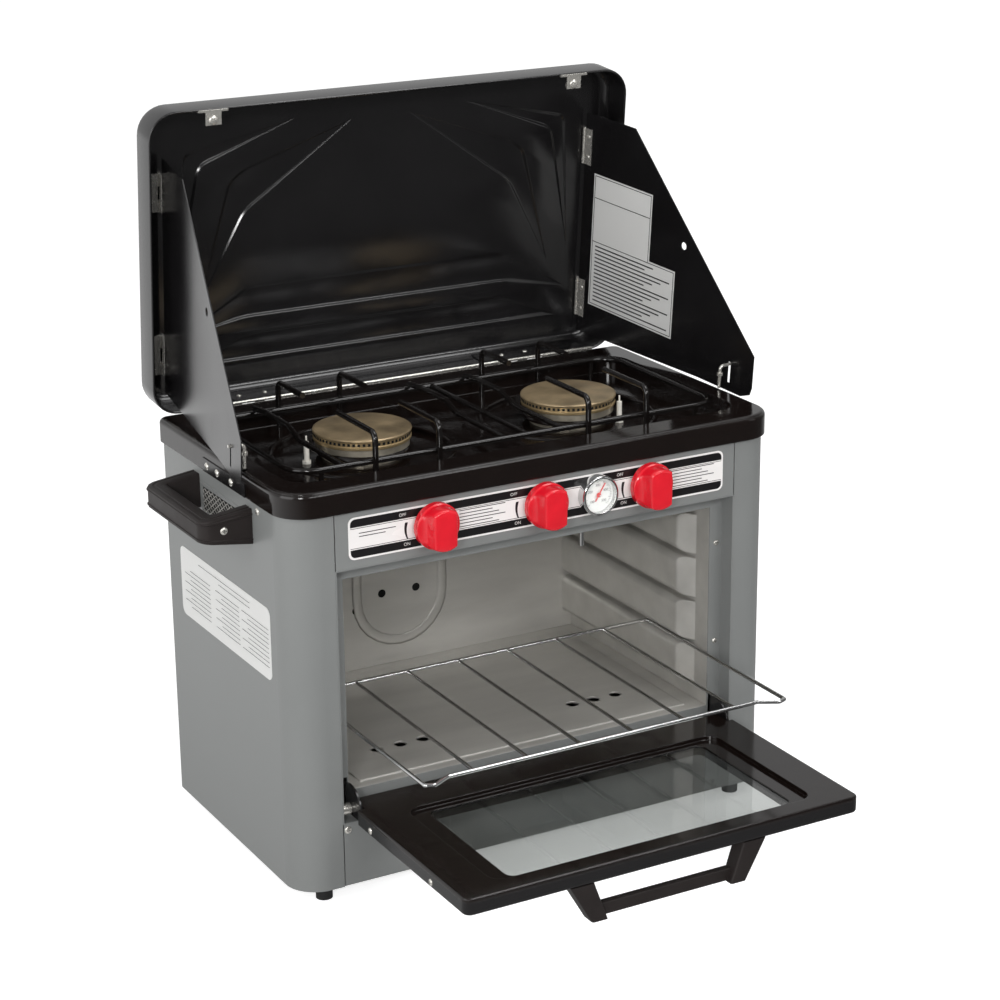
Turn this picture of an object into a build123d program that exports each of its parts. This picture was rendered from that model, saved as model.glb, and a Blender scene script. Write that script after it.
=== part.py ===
from build123d import *
import os

# Folding camp oven: a sheet-metal oven under a two-burner hob, with a fold-down door,
# a pull-out rack, a lift-off grate and a hinged lid that carries two windscreens.
# X runs to the right, -Y to the front, Z up.  X = 0, Y = 0 is the middle of the case.
# Heights below are measured from the lower edge of the case; save() lifts all by the feet.

# ---------------------------------------------------------------- driving dimensions, mm
sheet = 1.0                 # painted steel sheet
touch = 0.3                 # gap between pieces that lie side by side

# case
case_w = 520.0
case_d = 290.4
case_h = 373.0
front_corner_r = 32.0
rear_corner_r = 8.0
front_seam_x = case_w / 2 - 45.6
rear_seam_x = case_w / 2 - 30.0
base_lip_h = 15.0
foot_h = 14.0
foot_r = 8.0
foot_x = case_w / 2 - 32.0
foot_y = case_d / 2 - 17.2

# fascia and control overlay
fascia_half = front_seam_x - 0.9
fascia_z = (case_h - 61.5, case_h - 1.0)
fascia_fold = 17.0
overlay_half = fascia_half - 13.0
overlay_z = (fascia_z[0] + 8.0, fascia_z[0] + 48.0)
overlay_t = 0.4
overlay_r = 6.0
control_z = fascia_z[0] + 28.5
knob_pitch = 115.0
knob_r = 22.0
knob_skirt = 8.0
knob_h = 23.0
knob_grip_w = 24.0
knob_crown_in = 1.8         # the crown's radius, in from the skirt's
stem_seat = 4.0             # wall left in front of and behind the stem
knob_push = 3.0
neck_hole_r = 8.0
stem_r = 3.0
run = 0.05                  # radial running clearance of every shaft
meter_x = 57.5
meter_z = control_z - 0.5
meter_r = 19.5
meter_depth = 10.0
meter_wall = 2.5            # bezel wall of the thermometer
probe_hole_r = 6.0
probe_r = 2.5
probe_reach = 26.0          # from the case front back to the probe
needle_angle = 58.0
needle_pin_r = 0.8

# door recess, door frame and lower panel
recess_half = front_seam_x - 0.4
recess_depth = 18.2
opening_half = recess_half - 15.0
opening_top = case_h - 77.0
lower_panel_half = fascia_half
lower_panel_h = 63.0
frame_rivet_inset = 8.0
frame_rivet_z = (opening_top - 140.7, opening_top - 37.6)

# oven
oven_back = case_d / 2 - 8.2
oven_top = opening_top + 4.0
oven_skirt_z = 70.0
floor_z = 88.0
ridge_depth = 11.5
ridge_count = 4
ridge_z = floor_z + 15.7
ridge_pitch = (oven_top - ridge_z - 13.5) / ridge_count
ridge_h = ridge_pitch - 4.7
ridge_soft_r = 7.0
ridge_start = 22.0          # from the opening back to the front end of a ridge
ridge_slope = 19.0          # length over which that end rises to the full depth
ledge_w = 8.0
floor_hole_r = 6.5
floor_hole_x = opening_half - 64.4
floor_hole_pitch = 25.0
floor_hole_y = -57.0
rack_z = 147.0
rack_half = opening_half - 7.0
rack_wire_r = 1.9
rack_front = -case_d / 2 - 126.8
rack_depth = 246.5
rack_pitch = 55.8
rack_wires = 6
rack_jog = (26.0, 10.0)     # how far the front bar is drawn in and back

# door, shown open
door_half = recess_half - 6.7
door_front = -case_d / 2 - opening_top + 71.6
door_rear = -case_d / 2 + 8.2
door_z = (67.0, 83.6)
window_half = door_half - 57.3
window_y = (door_front + 26.6, door_rear - 53.0)
window_r = 9.0
bezel_half = window_half + 19.0
bezel_y = (window_y[0] - 7.0, window_y[1] + 7.0)
bezel_r = 14.0
bezel_drop = 5.0
glass_t = 4.0
pivot_y = -case_d / 2 + 7.5
pivot_z = 75.0
pivot_r = 3.0
door_corner_r = 8.0
door_edge_r = 3.0           # round the underside
door_rim_r = 2.0            # round the upper face
arm_x = door_half - 6.0
arm_t = 2.0
arm_r = 24.0
arm_rear = 9.0
arm_boss_r = 6.0
arm_leaf_y = pivot_y - 62.3
door_screw_y = (door_front + 64.3, door_rear - 50.4)
door_screw_z = 73.0
handle_drop = 25.0
handle_bar_h = 12.7
handle_bar_half = 75.0         # inside the posts that carry it
handle_bar_y = (door_front + 7.1, door_front + 15.1)
handle_foot_half = 103.0
handle_foot_w = 24.4
handle_foot_y = (door_front + 0.1, door_front + 17.6)
handle_end_half = 81.5
handle_end_w = 16.5
handle_end_y = (door_front - 0.4, door_front + 16.0)
handle_post_r = 2.4

# deck, burners and grate
deck_half_x = case_w / 2 + 2.3
deck_half_y = case_d / 2 + 4.3
deck_z = (case_h - 7.0, case_h + 16.1)
deck_sheet = 1.5
deck_edge_r = 5.0
well_half_x = deck_half_x - 22.3
well_y = (-deck_half_y + 32.5, deck_half_y - 31.5)
well_z = deck_z[0] + 5.0
well_r = 26.0
bracket_y = (-92.0, 34.0)
bracket_lip_y = (-92.0, -40.0)
bracket_h = 13.0
bracket_reach = 15.0
bracket_screw_y = (-32.0, 0.0, 24.0)
bowl_r = 84.0
bowl_drop = 4.0
burner_x = 113.5
burner_bore_r = 31.0
cap_r = 47.5
igniter_off = ((-58.2, 0.4), (38.1, -35.0))     # from the left and the right burner
cap_top = well_z + 24.0
cap_t = 3.2
ring_h = 8.0
port_count = 60
grate_x = well_half_x - 14.0
grate_y = (well_y[0] + 23.0, well_y[1] - 17.0)
grate_z = cap_top - 4.0
grate_r = 25.0
grate_rod_r = 2.8
weld = 1.6                  # how far two welded rods run into each other
finger_top = cap_top + 23.5
finger_bend = 8.0
finger_rear_x = (-152.0, -86.0, 74.0, 140.0)
finger_front_x = (-148.0, -82.0, 78.0, 143.0)
finger_rear_end = 48.0
finger_front_end = -20.0
stepped_x = (-180.0, -12.0, 50.0)
step_z = cap_top + 5.0
step_y = (68.0, 22.0, -4.0)
straight_x = 14.0

# side handles and vents
grip_y = (-71.0, 68.0)
right_handle_shift = 33.0
grip_x = case_w / 2 + 51.0
grip_t = 17.0
grip_z = (case_h - 42.0, case_h - 22.0)
arm_z = (grip_z[0] - 7.5, grip_z[1] + 6.5)
arm_w = 17.0
vent_y = (-40.0, 50.0)
vent_z = (case_h - 54.0, case_h - 21.0)
vent_margin = (6.0, 5.0)
slot_pitch = (8.0, 6.0)     # along and up the vent's rows
slot_size = (2.4, 5.0)
slot_rows = 4
rating_size = (210.0, 70.5)
rating_y = 4.0
rating_z = case_h - 138.3
case_screw_z = case_h - 15.0
rear_screw = (case_d / 2 - 22.2, case_h - 56.0)
grip_screw_x = case_w / 2 + 28.0

# lid: its own frame has x across, d from the rim plane to the back, h up the lid
lid_lean = 5.33
lid_y = deck_half_y + 7.1
lid_z = deck_z[1] - 3.7
lid_half = deck_half_x - 0.3
lid_h = 301.8
lid_depth = 39.0
lid_corner_r = 28.0
lid_back_r = 11.0
lid_pin_y = deck_half_y + 3.7
lid_pin_z = deck_z[1] - 6.6
lid_pin_r = 1.5
lid_hinge_x = 150.0
knuckle_r = 3.0
knuckle_w = 11.0
leaf_w = 40.0
catch_x = (lid_half - 80.0, lid_half - 50.0)
catch_depth = 12.0
catch_drop = 16.0           # the tab, down from the lid's edge
catch_roller_h = 13.0
lid_leaf_depth = 26.0

# windscreens: w runs forward from the hinge line, h up the lid
screen_hinge_x = lid_half - 26.4
screen_hinge_d = 35.0
screen_splay = 8.16
screen_t = 1.0
screen_outline = ((2.6, 12.0), (196.0, 19.0), (262.0, 19.0), (274.5, 24.0), (277.0, 32.0),
                  (277.0, 65.0), (80.0, 250.0), (2.6, 250.0))
screen_knuckle_h = ((29.0, 70.0), (195.0, 233.0))
slot_w = 243.0
slot_h = (27.7, 49.6)
slot_half = 1.9
sight_hole = (164.0, 148.6)
label_w = (20.0, 113.0, 153.5)      # hinge-side edge, then the upper and the lower part's far edge
label_h = (46.5, 118.5, 188.7)
label_t = 0.2
bolt_r = 1.6
bolt_offset = 12.5
bolt_hook_h = 47.4
bolt_foot_h = 24.6
bolt_travel = 13.0
bolt_hole_r = 2.8
bolt_collar = (3.0, 13.0, 16.0)    # radius, and its two ends above the foot
screen_knuckle_r = 2.2
screen_pin_r = 1.0
screen_leaf = (12.8, 3.2, 0.8)     # outer edge, inner edge and thickness

# gas train behind the fascia
manifold_y = -case_d / 2 + 40.2
manifold_z = control_z - 19.0
manifold_r = 7.0
valve_half = 11.0
valve_y = (-case_d / 2 + 17.2, -case_d / 2 + 47.2)
inlet_x = case_w / 2 - 20.0
inlet_r = 8.0
inlet_len = 22.0
inlet_offset = 12.0         # from the pipe to the rear fitting
burner_bar_half = opening_half - 49.0
stand_w = 6.0
burner_port_pitch = 14.0
burner_port_count = 21
supply_r = 4.0
supply_x = opening_half + 25.0
oven_burner_z = 50.0
oven_burner_r = 9.0


# where the lid and the right windscreen stand
lid_place = Pos(0, lid_y, lid_z) * Rot(X=lid_lean)
screen_place = lid_place * Pos(screen_hinge_x, screen_hinge_d, 0) * Rot(Z=screen_splay)


# ---------------------------------------------------------------- helpers
def block(x, y, z):
    """A box between two values on each axis."""
    size = Box(x[1] - x[0], y[1] - y[0], z[1] - z[0])
    return Pos((x[0] + x[1]) / 2, (y[0] + y[1]) / 2, (z[0] + z[1]) / 2) * size


def both_sides(half, y, z):
    """A box that spans -half to half across the case."""
    return block((-half, half), y, z)


def cyl_x(radius, x, y, z):
    """A cylinder along X from x[0] to x[1]."""
    return Pos((x[0] + x[1]) / 2, y, z) * Rot(Y=90) * Cylinder(radius, x[1] - x[0])


def cyl_y(radius, x, y, z):
    """A cylinder along Y from y[0] to y[1]."""
    return Pos(x, (y[0] + y[1]) / 2, z) * Rot(X=90) * Cylinder(radius, y[1] - y[0])


def cyl_z(radius, x, y, z):
    """A cylinder along Z from z[0] to z[1]."""
    return Pos(x, y, (z[0] + z[1]) / 2) * Cylinder(radius, z[1] - z[0])


def rod(points, radius, bend=0.0):
    """A round rod along points, with one bend radius at each corner."""
    if len(points) > 2:
        path = FilletPolyline(*points, radius=bend)
    else:
        path = Line(*points)
    section = Plane(origin=path @ 0, z_dir=path % 0) * Circle(radius)
    return sweep(section, path=path)


def plate(half_x, y, r_front, r_rear, z):
    """An upright prism over a rectangle with rounded front and rear corners."""
    outline = Pos(0, (y[0] + y[1]) / 2) * Rectangle(2 * half_x, y[1] - y[0])
    front = outline.vertices().sort_by(Axis.Y)[:2]
    outline = fillet(front, r_front)
    rear = outline.vertices().sort_by(Axis.Y)[-2:]
    outline = fillet(rear, r_rear)
    return Pos(0, 0, z[0]) * extrude(outline, z[1] - z[0])


def across(part):
    """The mirror image of a part on the other side of the case."""
    return mirror(part, about=Plane.YZ)


def rivet(radius, height):
    """A low domed head that stands on z = 0."""
    dome_r = (radius ** 2 + height ** 2) / (2 * height)
    ball = Pos(0, 0, height - dome_r) * Sphere(dome_r)
    return ball & (Pos(0, 0, height / 2) * Cylinder(radius, height))


def save(name, *solids):
    """Write one node, lifted so that the feet stand on z = 0."""
    lifted = [Pos(0, 0, foot_h) * solid for solid in solids]
    whole = lifted[0] if len(lifted) == 1 else Compound(children=lifted)
    export_step(whole, f"parts/{name}.step")


# ---------------------------------------------------------------- case
def case_ring(shrink, z):
    """The plan of the case, drawn in by shrink, as a prism."""
    half_y = case_d / 2 - shrink
    return plate(case_w / 2 - shrink, (-half_y, half_y),
                 front_corner_r - shrink, rear_corner_r - shrink, z)


def side_panel(vent_shift=0.0):
    """The left panel, with its rounded front corner and its return to the front seam."""
    ring = case_ring(0, (0, case_h)) - case_ring(sheet, (-1, case_h + 1))
    front = block((-case_w, -front_seam_x), (-case_d, 0), (0, case_h))
    rear = block((-case_w, -rear_seam_x), (0, case_d), (0, case_h))
    panel = ring & (front + rear)
    vent = block((-case_w / 2 - 1, -case_w / 2 + 2), vent_inner_y(), vent_inner_z())
    return panel - Pos(0, vent_shift) * vent


def vent_inner_y():
    """The vent's opening in the side panel, inside the grille's margin."""
    return (vent_y[0] + vent_margin[0], vent_y[1] - vent_margin[0])


def vent_inner_z():
    """The height of the vent's opening."""
    return (vent_z[0] + vent_margin[1], vent_z[1] - vent_margin[1])


def vent_grille():
    """The left vent: a thin grille with slanted rows of slots, on the panel's face."""
    face_x = -case_w / 2
    grille = block((face_x - sheet / 2, face_x), vent_y, vent_z)
    slots = []
    count = int((vent_y[1] - vent_y[0]) / slot_pitch[0]) - 2
    for row in range(slot_rows):
        for column in range(count):
            y = vent_y[0] + slot_pitch[0] * (column + 1.25 + 0.5 * (row % 2))
            z = vent_z[0] + 8 + slot_pitch[1] * row
            slots.append(Pos(face_x, y, z) * Rot(X=35) * Box(2 * sheet, *slot_size))
    return grille - slots


def back_panel():
    """The rear sheet between the two side panels, with the gas inlet's hole."""
    half = rear_seam_x - touch
    panel = both_sides(half, (case_d / 2 - sheet, case_d / 2), (0, case_h))
    louvre = both_sides(half * 0.55, (case_d / 2 - 2, case_d / 2 + 1), (0, 5))
    for row in range(5):
        panel -= Pos(0, 0, 190 + 22 * row) * louvre
    return panel


def base_pan():
    """The bottom sheet with a low upturned lip."""
    outer = case_ring(sheet + touch, (0, base_lip_h))
    return outer - case_ring(2 * sheet + touch, (sheet, base_lip_h + 1))


def foot(x, y):
    """One rubber foot under the base."""
    return cyl_z(foot_r, x, y, (-foot_h, 0))


def control_fascia():
    """The front sheet above the door, with folds behind its lower and upper edges."""
    front = -case_d / 2
    sheet_front = both_sides(fascia_half, (front, front + sheet), fascia_z)
    lower = both_sides(fascia_half, (front, front + fascia_fold), (fascia_z[0], fascia_z[0] + sheet))
    upper = both_sides(fascia_half, (front, front + fascia_fold), (fascia_z[1] - sheet, fascia_z[1]))
    panel = sheet_front + lower + upper
    for x in control_places():
        panel -= cyl_y(neck_hole_r, x, (front - 1, front + 2 * sheet), control_z)
    return panel - cyl_y(probe_hole_r, meter_x, (front - 1, front + 2 * sheet), meter_z)



def control_places():
    """The X of the left, oven and right controls."""
    return (-knob_pitch, 0.0, knob_pitch)


def control_overlay():
    """The printed plate on the fascia."""
    front = -case_d / 2
    height = overlay_z[1] - overlay_z[0]
    outline = Plane.XZ * RectangleRounded(2 * overlay_half, height, overlay_r)
    overlay = Pos(0, front, (overlay_z[0] + overlay_z[1]) / 2) * extrude(outline, overlay_t)
    for x in control_places():
        overlay -= cyl_y(neck_hole_r, x, (front - 2, front + 1), control_z)
    return overlay - cyl_y(probe_hole_r, meter_x, (front - 2, front + 1), meter_z)


def lower_front_panel():
    """The sheet under the door, folded back at its top."""
    front = -case_d / 2
    face = both_sides(lower_panel_half, (front, front + sheet), (sheet + touch, lower_panel_h))
    fold = both_sides(lower_panel_half, (front, front + recess_depth),
                      (lower_panel_h - sheet, lower_panel_h))
    return face + fold


def door_frame():
    """The recess that the door shuts into: side cheeks, face strips and a sill."""
    front = -case_d / 2
    back = front + recess_depth + sheet
    z = (lower_panel_h, fascia_z[0])
    outer = both_sides(recess_half + sheet / 3, (front, back), z)
    hollow = both_sides(recess_half - sheet, (front - 1, front + recess_depth),
                        (z[0] + sheet, z[1] - sheet))
    opening = both_sides(opening_half, (front, back + 1), (floor_z - sheet, opening_top))
    frame = outer - hollow - opening
    slot_z = (z[0] + 2 * sheet, pivot_z + arm_r + 2)
    slot = block((arm_x - 1, arm_x + arm_t + 1), (front + recess_depth - 1, back + 1), slot_z)
    return frame - slot - across(slot)


def frame_rivets():
    """The rivets down each face strip of the door frame."""
    face = -case_d / 2 + recess_depth
    heads = []
    for side in (-1, 1):
        for z in frame_rivet_z:
            place = Pos(side * (opening_half + frame_rivet_inset), face, z) * Rot(X=90)
            heads.append(place * rivet(2.6, 1.2))
    return heads


def case_screws():
    """The screw heads on the sides of the case and beside the lower panel."""
    heads = []
    for side in (-1, 1):
        shift = right_handle_shift if side > 0 else 0.0
        for y, z in ((grip_y[0] + shift - 11, case_screw_z), rear_screw):
            heads.append(Pos(side * case_w / 2, y, z) * Rot(Y=side * 90) * rivet(4.0, 1.8))
        heads.append(Pos(side * (front_seam_x - 5), -case_d / 2, 57.0) * Rot(X=90) * rivet(3.2, 1.2))
    return heads[:2] + heads[3:5] + [heads[2], heads[5]]


def rating_label():
    """The blank sticker on the left side."""
    outline = Plane.YZ * RectangleRounded(*rating_size, 8)
    return Pos(-case_w / 2, rating_y, rating_z) * extrude(outline, -0.3)


# ---------------------------------------------------------------- side handles
def side_handle():
    """The left carry handle: a grip bar on two arms that widen to the case."""
    face = -case_w / 2
    inner_x = -grip_x + grip_t
    outline = Polyline((face, arm_z[0]), (face, arm_z[1]), (-grip_x, grip_z[1]),
                       (-grip_x, grip_z[0]), close=True)
    profile = make_face(Plane.XZ * outline)
    body = Pos(0, grip_y[1]) * extrude(profile, grip_y[1] - grip_y[0])
    gap = block((inner_x, face + 1), (grip_y[0] + arm_w, grip_y[1] - arm_w),
                (arm_z[0] - 1, arm_z[1] + 1))
    return body - gap


def handle_screws():
    """The screws through the arms of both handles."""
    heads = []
    for side in (-1, 1):
        shift = right_handle_shift if side > 0 else 0.0
        place = Pos(side * grip_screw_x, grip_y[0] + shift, (grip_z[0] + grip_z[1]) / 2) * Rot(X=90)
        heads.append(place * rivet(4.2, 1.5))
    return heads


# ---------------------------------------------------------------- deck
def deck():
    """The enamelled top: a deep rolled rim round a well with a bowl under each burner."""
    t = deck_sheet
    front_r = front_corner_r + deck_half_x - case_w / 2
    rear_r = rear_corner_r + deck_half_x - case_w / 2
    outer = plate(deck_half_x, (-deck_half_y, deck_half_y), front_r, rear_r, deck_z)
    outer = fillet(outer.faces().sort_by(Axis.Z)[-1].edges(), deck_edge_r)
    inner = plate(deck_half_x - t, (-deck_half_y + t, deck_half_y - t), front_r - t, rear_r - t,
                  (deck_z[0] - 1, deck_z[1] - t))
    tub = plate(well_half_x + t, (well_y[0] - t, well_y[1] + t), well_r + t, well_r + t,
                (well_z - t, deck_z[1] - t))
    top = outer - inner + tub
    for x in (-burner_x, burner_x):
        top += cyl_z(bowl_r + t, x, 0, (well_z - bowl_drop - t, well_z - t))
    top -= plate(well_half_x, well_y, well_r, well_r, (well_z, deck_z[1] + 1))
    for x in (-burner_x, burner_x):
        top -= cyl_z(bowl_r, x, 0, (well_z - bowl_drop, well_z + 1))
        top -= cyl_z(burner_bore_r, x, 0, (deck_z[0] - 20, deck_z[1]))
    return top


def screen_bracket():
    """The right bracket that takes the foot of a windscreen, on the side of the deck."""
    x = (deck_half_x, deck_half_x + bracket_reach)
    low = deck_z[0]
    bracket = block((x[0], x[0] + sheet), bracket_y, (low, low + bracket_h))
    bracket += block(x, bracket_lip_y, (low, low + sheet))
    return bracket + block((x[1] - sheet, x[1]), bracket_lip_y, (low, low + 6))


def bracket_screws():
    """The screws that hold the right bracket."""
    heads = []
    for y in bracket_screw_y:
        heads.append(Pos(deck_half_x + sheet, y, deck_z[0] + bracket_h / 2) * Rot(Y=90) * rivet(3.6, 1.6))
    return heads


# ---------------------------------------------------------------- burners and grate
def burner_body(x):
    """A cast burner: head in the bowl, throat and mixing tube back to its valve."""
    head_top = cap_top - cap_t - ring_h
    head = cyl_z(cap_r - 2.5, x, 0, (well_z + 1, head_top))
    skirt = cyl_z(burner_bore_r - touch, x, 0, (well_z - bowl_drop - 6, well_z + 1))
    flange = cyl_z(burner_bore_r + 8, x, 0, (well_z - bowl_drop, well_z + 1))
    throat_path = ((x, valve_y[1] + touch, control_z), (x, 0, control_z), (x, 0, well_z - bowl_drop))
    throat = rod(throat_path, 8.0, 14.0)
    return head + skirt + flange + throat


def burner_cap(x):
    """The pressed burner cap over a ring of flame ports."""
    ring_z = (cap_top - cap_t - ring_h, cap_top - cap_t)
    ring = cyl_z(cap_r - 1.5, x, 0, ring_z)
    disc = cyl_z(cap_r, x, 0, (ring_z[1], cap_top))
    disc = fillet(disc.edges().sort_by(Axis.Z)[-1], 2.0)
    port = Pos(cap_r - 1.5, 0, ring_z[1] - 2) * Box(3.0, 1.8, 3.0)
    ports = [Pos(x, 0) * Rot(Z=360 / port_count * i) * port for i in range(port_count)]
    return ring + disc - ports


def igniter(x, y):
    """A ceramic spark plug beside a burner, standing in the well."""
    rod_part = cyl_z(2.6, x, y, (well_z - bowl_drop, well_z + 17))
    tip = cyl_z(0.9, x, y, (well_z + 17, well_z + 23))
    nut = Pos(x, y, well_z - bowl_drop) * extrude(RegularPolygon(4.5, 6), 3)
    return rod_part + tip + nut


def grate():
    """The welded wire grate that the pots stand on."""
    r = grate_rod_r
    z = grate_z
    half = rod(((0, grate_y[0], z), (-grate_x, grate_y[0], z), (-grate_x, grate_y[1], z),
                (0, grate_y[1], z)), r, grate_r)
    whole = half + across(half)
    foot_z = well_z + touch
    rods = []
    for x in finger_rear_x:
        y = grate_y[1] + 2 * r - weld
        rods.append(rod(((x, y, foot_z), (x, y, finger_top), (x, finger_rear_end, finger_top)),
                        r, finger_bend))
    for x in finger_front_x:
        y = grate_y[0] - 2 * r + weld
        rods.append(rod(((x, y, foot_z), (x, y, finger_top), (x, finger_front_end, finger_top)),
                        r, finger_bend))
    for x in stepped_x:
        rods.append(rod(((x, grate_y[1] - 1, step_z - 3), (x, step_y[0], step_z), (x, step_y[1], step_z),
                         (x, step_y[2], z + 1), (x, grate_y[0] + 1, z + 1)), r, 6.0))
    rods.append(rod(((straight_x, grate_y[1] - 1, z), (straight_x, grate_y[0] + 1, z)), r))
    for x in (-grate_x + grate_r, grate_x - grate_r):
        for y in grate_y:
            rods.append(cyl_z(r - 0.3, x, y, (well_z + touch, grate_z + 0.5)))
    for piece in rods:
        whole += piece
    return whole


# ---------------------------------------------------------------- gas train
def gas_valve(x):
    """A valve block with its neck through the fascia and its foot on the manifold."""
    front = -case_d / 2
    body = block((x - valve_half, x + valve_half), valve_y,
                 (control_z - valve_half, control_z + valve_half))
    neck = cyl_y(neck_hole_r - 1, x, (front + sheet + touch, valve_y[0]), control_z)
    foot_part = cyl_z(5.0, x, manifold_y, (manifold_z, control_z - valve_half))
    valve = body + neck + foot_part
    valve -= cyl_x(manifold_r + 0.1, (x - 30, x + 30), manifold_y, manifold_z)
    return valve - cyl_y(stem_r + run, x, (front, valve_y[1] - stem_seat), control_z)


def valve_stem(x):
    """The stem that a knob pushes and turns."""
    return cyl_y(stem_r, x, (knob_face_y() + stem_seat, valve_y[1] - stem_seat - knob_push - 1), control_z)


def knob_base_y():
    """The back of the knob, clear of the overlay by the push."""
    return -case_d / 2 - overlay_t - knob_push - touch


def knob_face_y():
    """The front of the knob's grip."""
    return knob_base_y() - knob_h


def knob(x):
    """A round knob whose crown is cut flat on both sides, with a blind bore for the stem."""
    base = knob_base_y()
    skirt_front = base - knob_skirt
    face = knob_face_y()
    skirt = cyl_y(knob_r, x, (skirt_front, base), control_z)
    skirt = fillet(skirt.edges().sort_by(Axis.Y)[0], 1.0)
    half = knob_grip_w / 2
    crown = cyl_y(knob_r - knob_crown_in, x, (face, skirt_front + 1), control_z)
    crown &= block((x - half, x + half), (face - 1, skirt_front + 1),
                   (control_z - knob_r, control_z + knob_r))
    crown = chamfer(crown.faces().sort_by(Axis.Y)[0].edges(), 1.6)
    whole = skirt + crown
    return whole - cyl_y(stem_r + run, x, (face + stem_seat - touch, base + 1), control_z)


def gas_manifold():
    """The tube that feeds the valves, and the pipe back to the rear inlet."""
    tube = cyl_x(manifold_r, (-knob_pitch - 20, inlet_x + 6), manifold_y, manifold_z)
    pipe = cyl_y(5.0, inlet_x, (manifold_y, case_d / 2 - 2 * sheet), manifold_z)
    return tube + pipe


def gas_inlet():
    """The rear gas fitting: a flange against the back panel and a round spigot."""
    back = case_d / 2
    flange = cyl_y(13.0, inlet_x - inlet_offset, (back, back + 3), manifold_z)
    spigot = cyl_y(inlet_r, inlet_x - inlet_offset, (back + 3, back + 3 + inlet_len), manifold_z)
    bore = cyl_y(4.0, inlet_x - inlet_offset, (back - 1, back + inlet_len + 4), manifold_z)
    return flange + spigot - bore


def oven_burner():
    """The tube burner under the oven floor and the supply tube from the middle valve."""
    half = burner_bar_half
    bar = cyl_x(oven_burner_r, (-half, half), 0, oven_burner_z)
    port = cyl_z(1.5, 0, 0, (oven_burner_z, oven_burner_z + oven_burner_r + 1))
    middle = (burner_port_count - 1) / 2
    bar -= [Pos(burner_port_pitch * (i - middle), 0, 0) * port for i in range(burner_port_count)]
    z = control_z - 5
    low = manifold_z - 3
    y = valve_y[1] + 14
    tube = rod(((0, valve_y[1] + touch, z), (0, y, z), (0, y, low), (supply_x, y, low),
                (supply_x, y, oven_burner_z), (supply_x, 0, oven_burner_z), (half, 0, oven_burner_z)),
               supply_r, 6.0)
    reach = (half - 2 * stand_w + 2, half - stand_w + 2)
    stand = block(reach, (-stand_w, stand_w), (sheet, oven_burner_z - 6))
    stand += across(stand)
    return bar + tube + stand


# ---------------------------------------------------------------- thermometer
def meter_case():
    """The round case of the thermometer, with its bezel, needle pin and probe."""
    back = -case_d / 2 - overlay_t
    front = back - meter_depth
    case = cyl_y(meter_r, meter_x, (front, back), meter_z)
    case = fillet(case.edges().sort_by(Axis.Y)[0], 2.0)
    case -= cyl_y(meter_r - meter_wall, meter_x, (front - 1, back - 2), meter_z)
    case += cyl_y(needle_pin_r, meter_x, (front + 3, back - 1), meter_z)
    probe_y = -case_d / 2 + probe_reach
    case += rod(((meter_x, back - 1, meter_z), (meter_x, probe_y, meter_z),
                 (meter_x, probe_y, oven_top - 20)), probe_r, 8.0)
    return case


def meter_dial():
    """The dial plate."""
    back = -case_d / 2 - overlay_t - 2
    dial = cyl_y(meter_r - meter_wall - 0.1, meter_x, (back - 0.8, back), meter_z)
    return dial - cyl_y(needle_pin_r + 2 * run, meter_x, (back - 2, back + 1), meter_z)


def meter_glass():
    """The flat glass in the bezel."""
    front = -case_d / 2 - overlay_t - meter_depth
    return cyl_y(meter_r - meter_wall - 0.1, meter_x, (front + 0.6, front + 2.4), meter_z)


def meter_needle():
    """The needle, which points up and to the right."""
    y = -case_d / 2 - overlay_t - 4.6
    bar = Pos(3.0, 0, 0) * Box(20, 0.5, 1.1)
    hub = Rot(X=90) * Cylinder(2.2, 1.0)
    needle = Pos(meter_x, y, meter_z) * Rot(Y=-needle_angle) * (bar + hub)
    return needle - cyl_y(needle_pin_r + run, meter_x, (y - 3, y + 3), meter_z)



# ---------------------------------------------------------------- oven
def oven_liner():
    """The aluminised box of the oven, open to the front and below, with ridged sides."""
    front = -case_d / 2 + recess_depth + sheet
    outer = both_sides(opening_half + sheet, (front, oven_back + sheet), (oven_skirt_z, oven_top + sheet))
    hollow = both_sides(opening_half, (front - 1, oven_back), (oven_skirt_z - 1, oven_top))
    liner = outer - hollow
    for i in range(ridge_count):
        z = ridge_z + ridge_pitch * i
        start = front + ridge_start
        inner = opening_half - ridge_depth
        outline = Polyline((opening_half, start), (inner, start + ridge_slope), (inner, oven_back),
                           (opening_half, oven_back), close=True)
        ridge = Pos(0, 0, z) * extrude(make_face(outline), ridge_h, dir=(0, 0, 1))
        face = ridge.faces().sort_by(Axis.X)[0]
        soft = face.edges().sort_by(Axis.Y)[0:1] + face.edges().filter_by(Axis.Y)
        ridge = fillet(soft, ridge_soft_r)
        liner += ridge
        liner += across(ridge)
    ledge = block((opening_half - ledge_w, opening_half), (front, oven_back),
                  (floor_z - 3 * sheet, floor_z - 2 * sheet))
    liner += ledge
    liner += across(ledge)
    probe = cyl_z(probe_r + 1, meter_x, -case_d / 2 + probe_reach, (oven_top - 5, oven_top + 5))
    return liner - probe


def oven_floor():
    """The loose floor plate with its rows of air holes and its stepped front edge."""
    front = -case_d / 2 + recess_depth + sheet + touch
    top = floor_z - sheet
    plate_part = both_sides(opening_half - touch, (front, oven_back - touch), (top - sheet, top))
    raised = both_sides(opening_half - 18, (front + 12, oven_back - 12), (top - 0.01, top + sheet))
    floor = plate_part + raised
    for side in (-1, 1):
        for i in range(3):
            x = side * (floor_hole_x - floor_hole_pitch * i)
            floor -= cyl_z(floor_hole_r, x, floor_hole_y, (top - 5, top + 5))
    return floor


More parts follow.
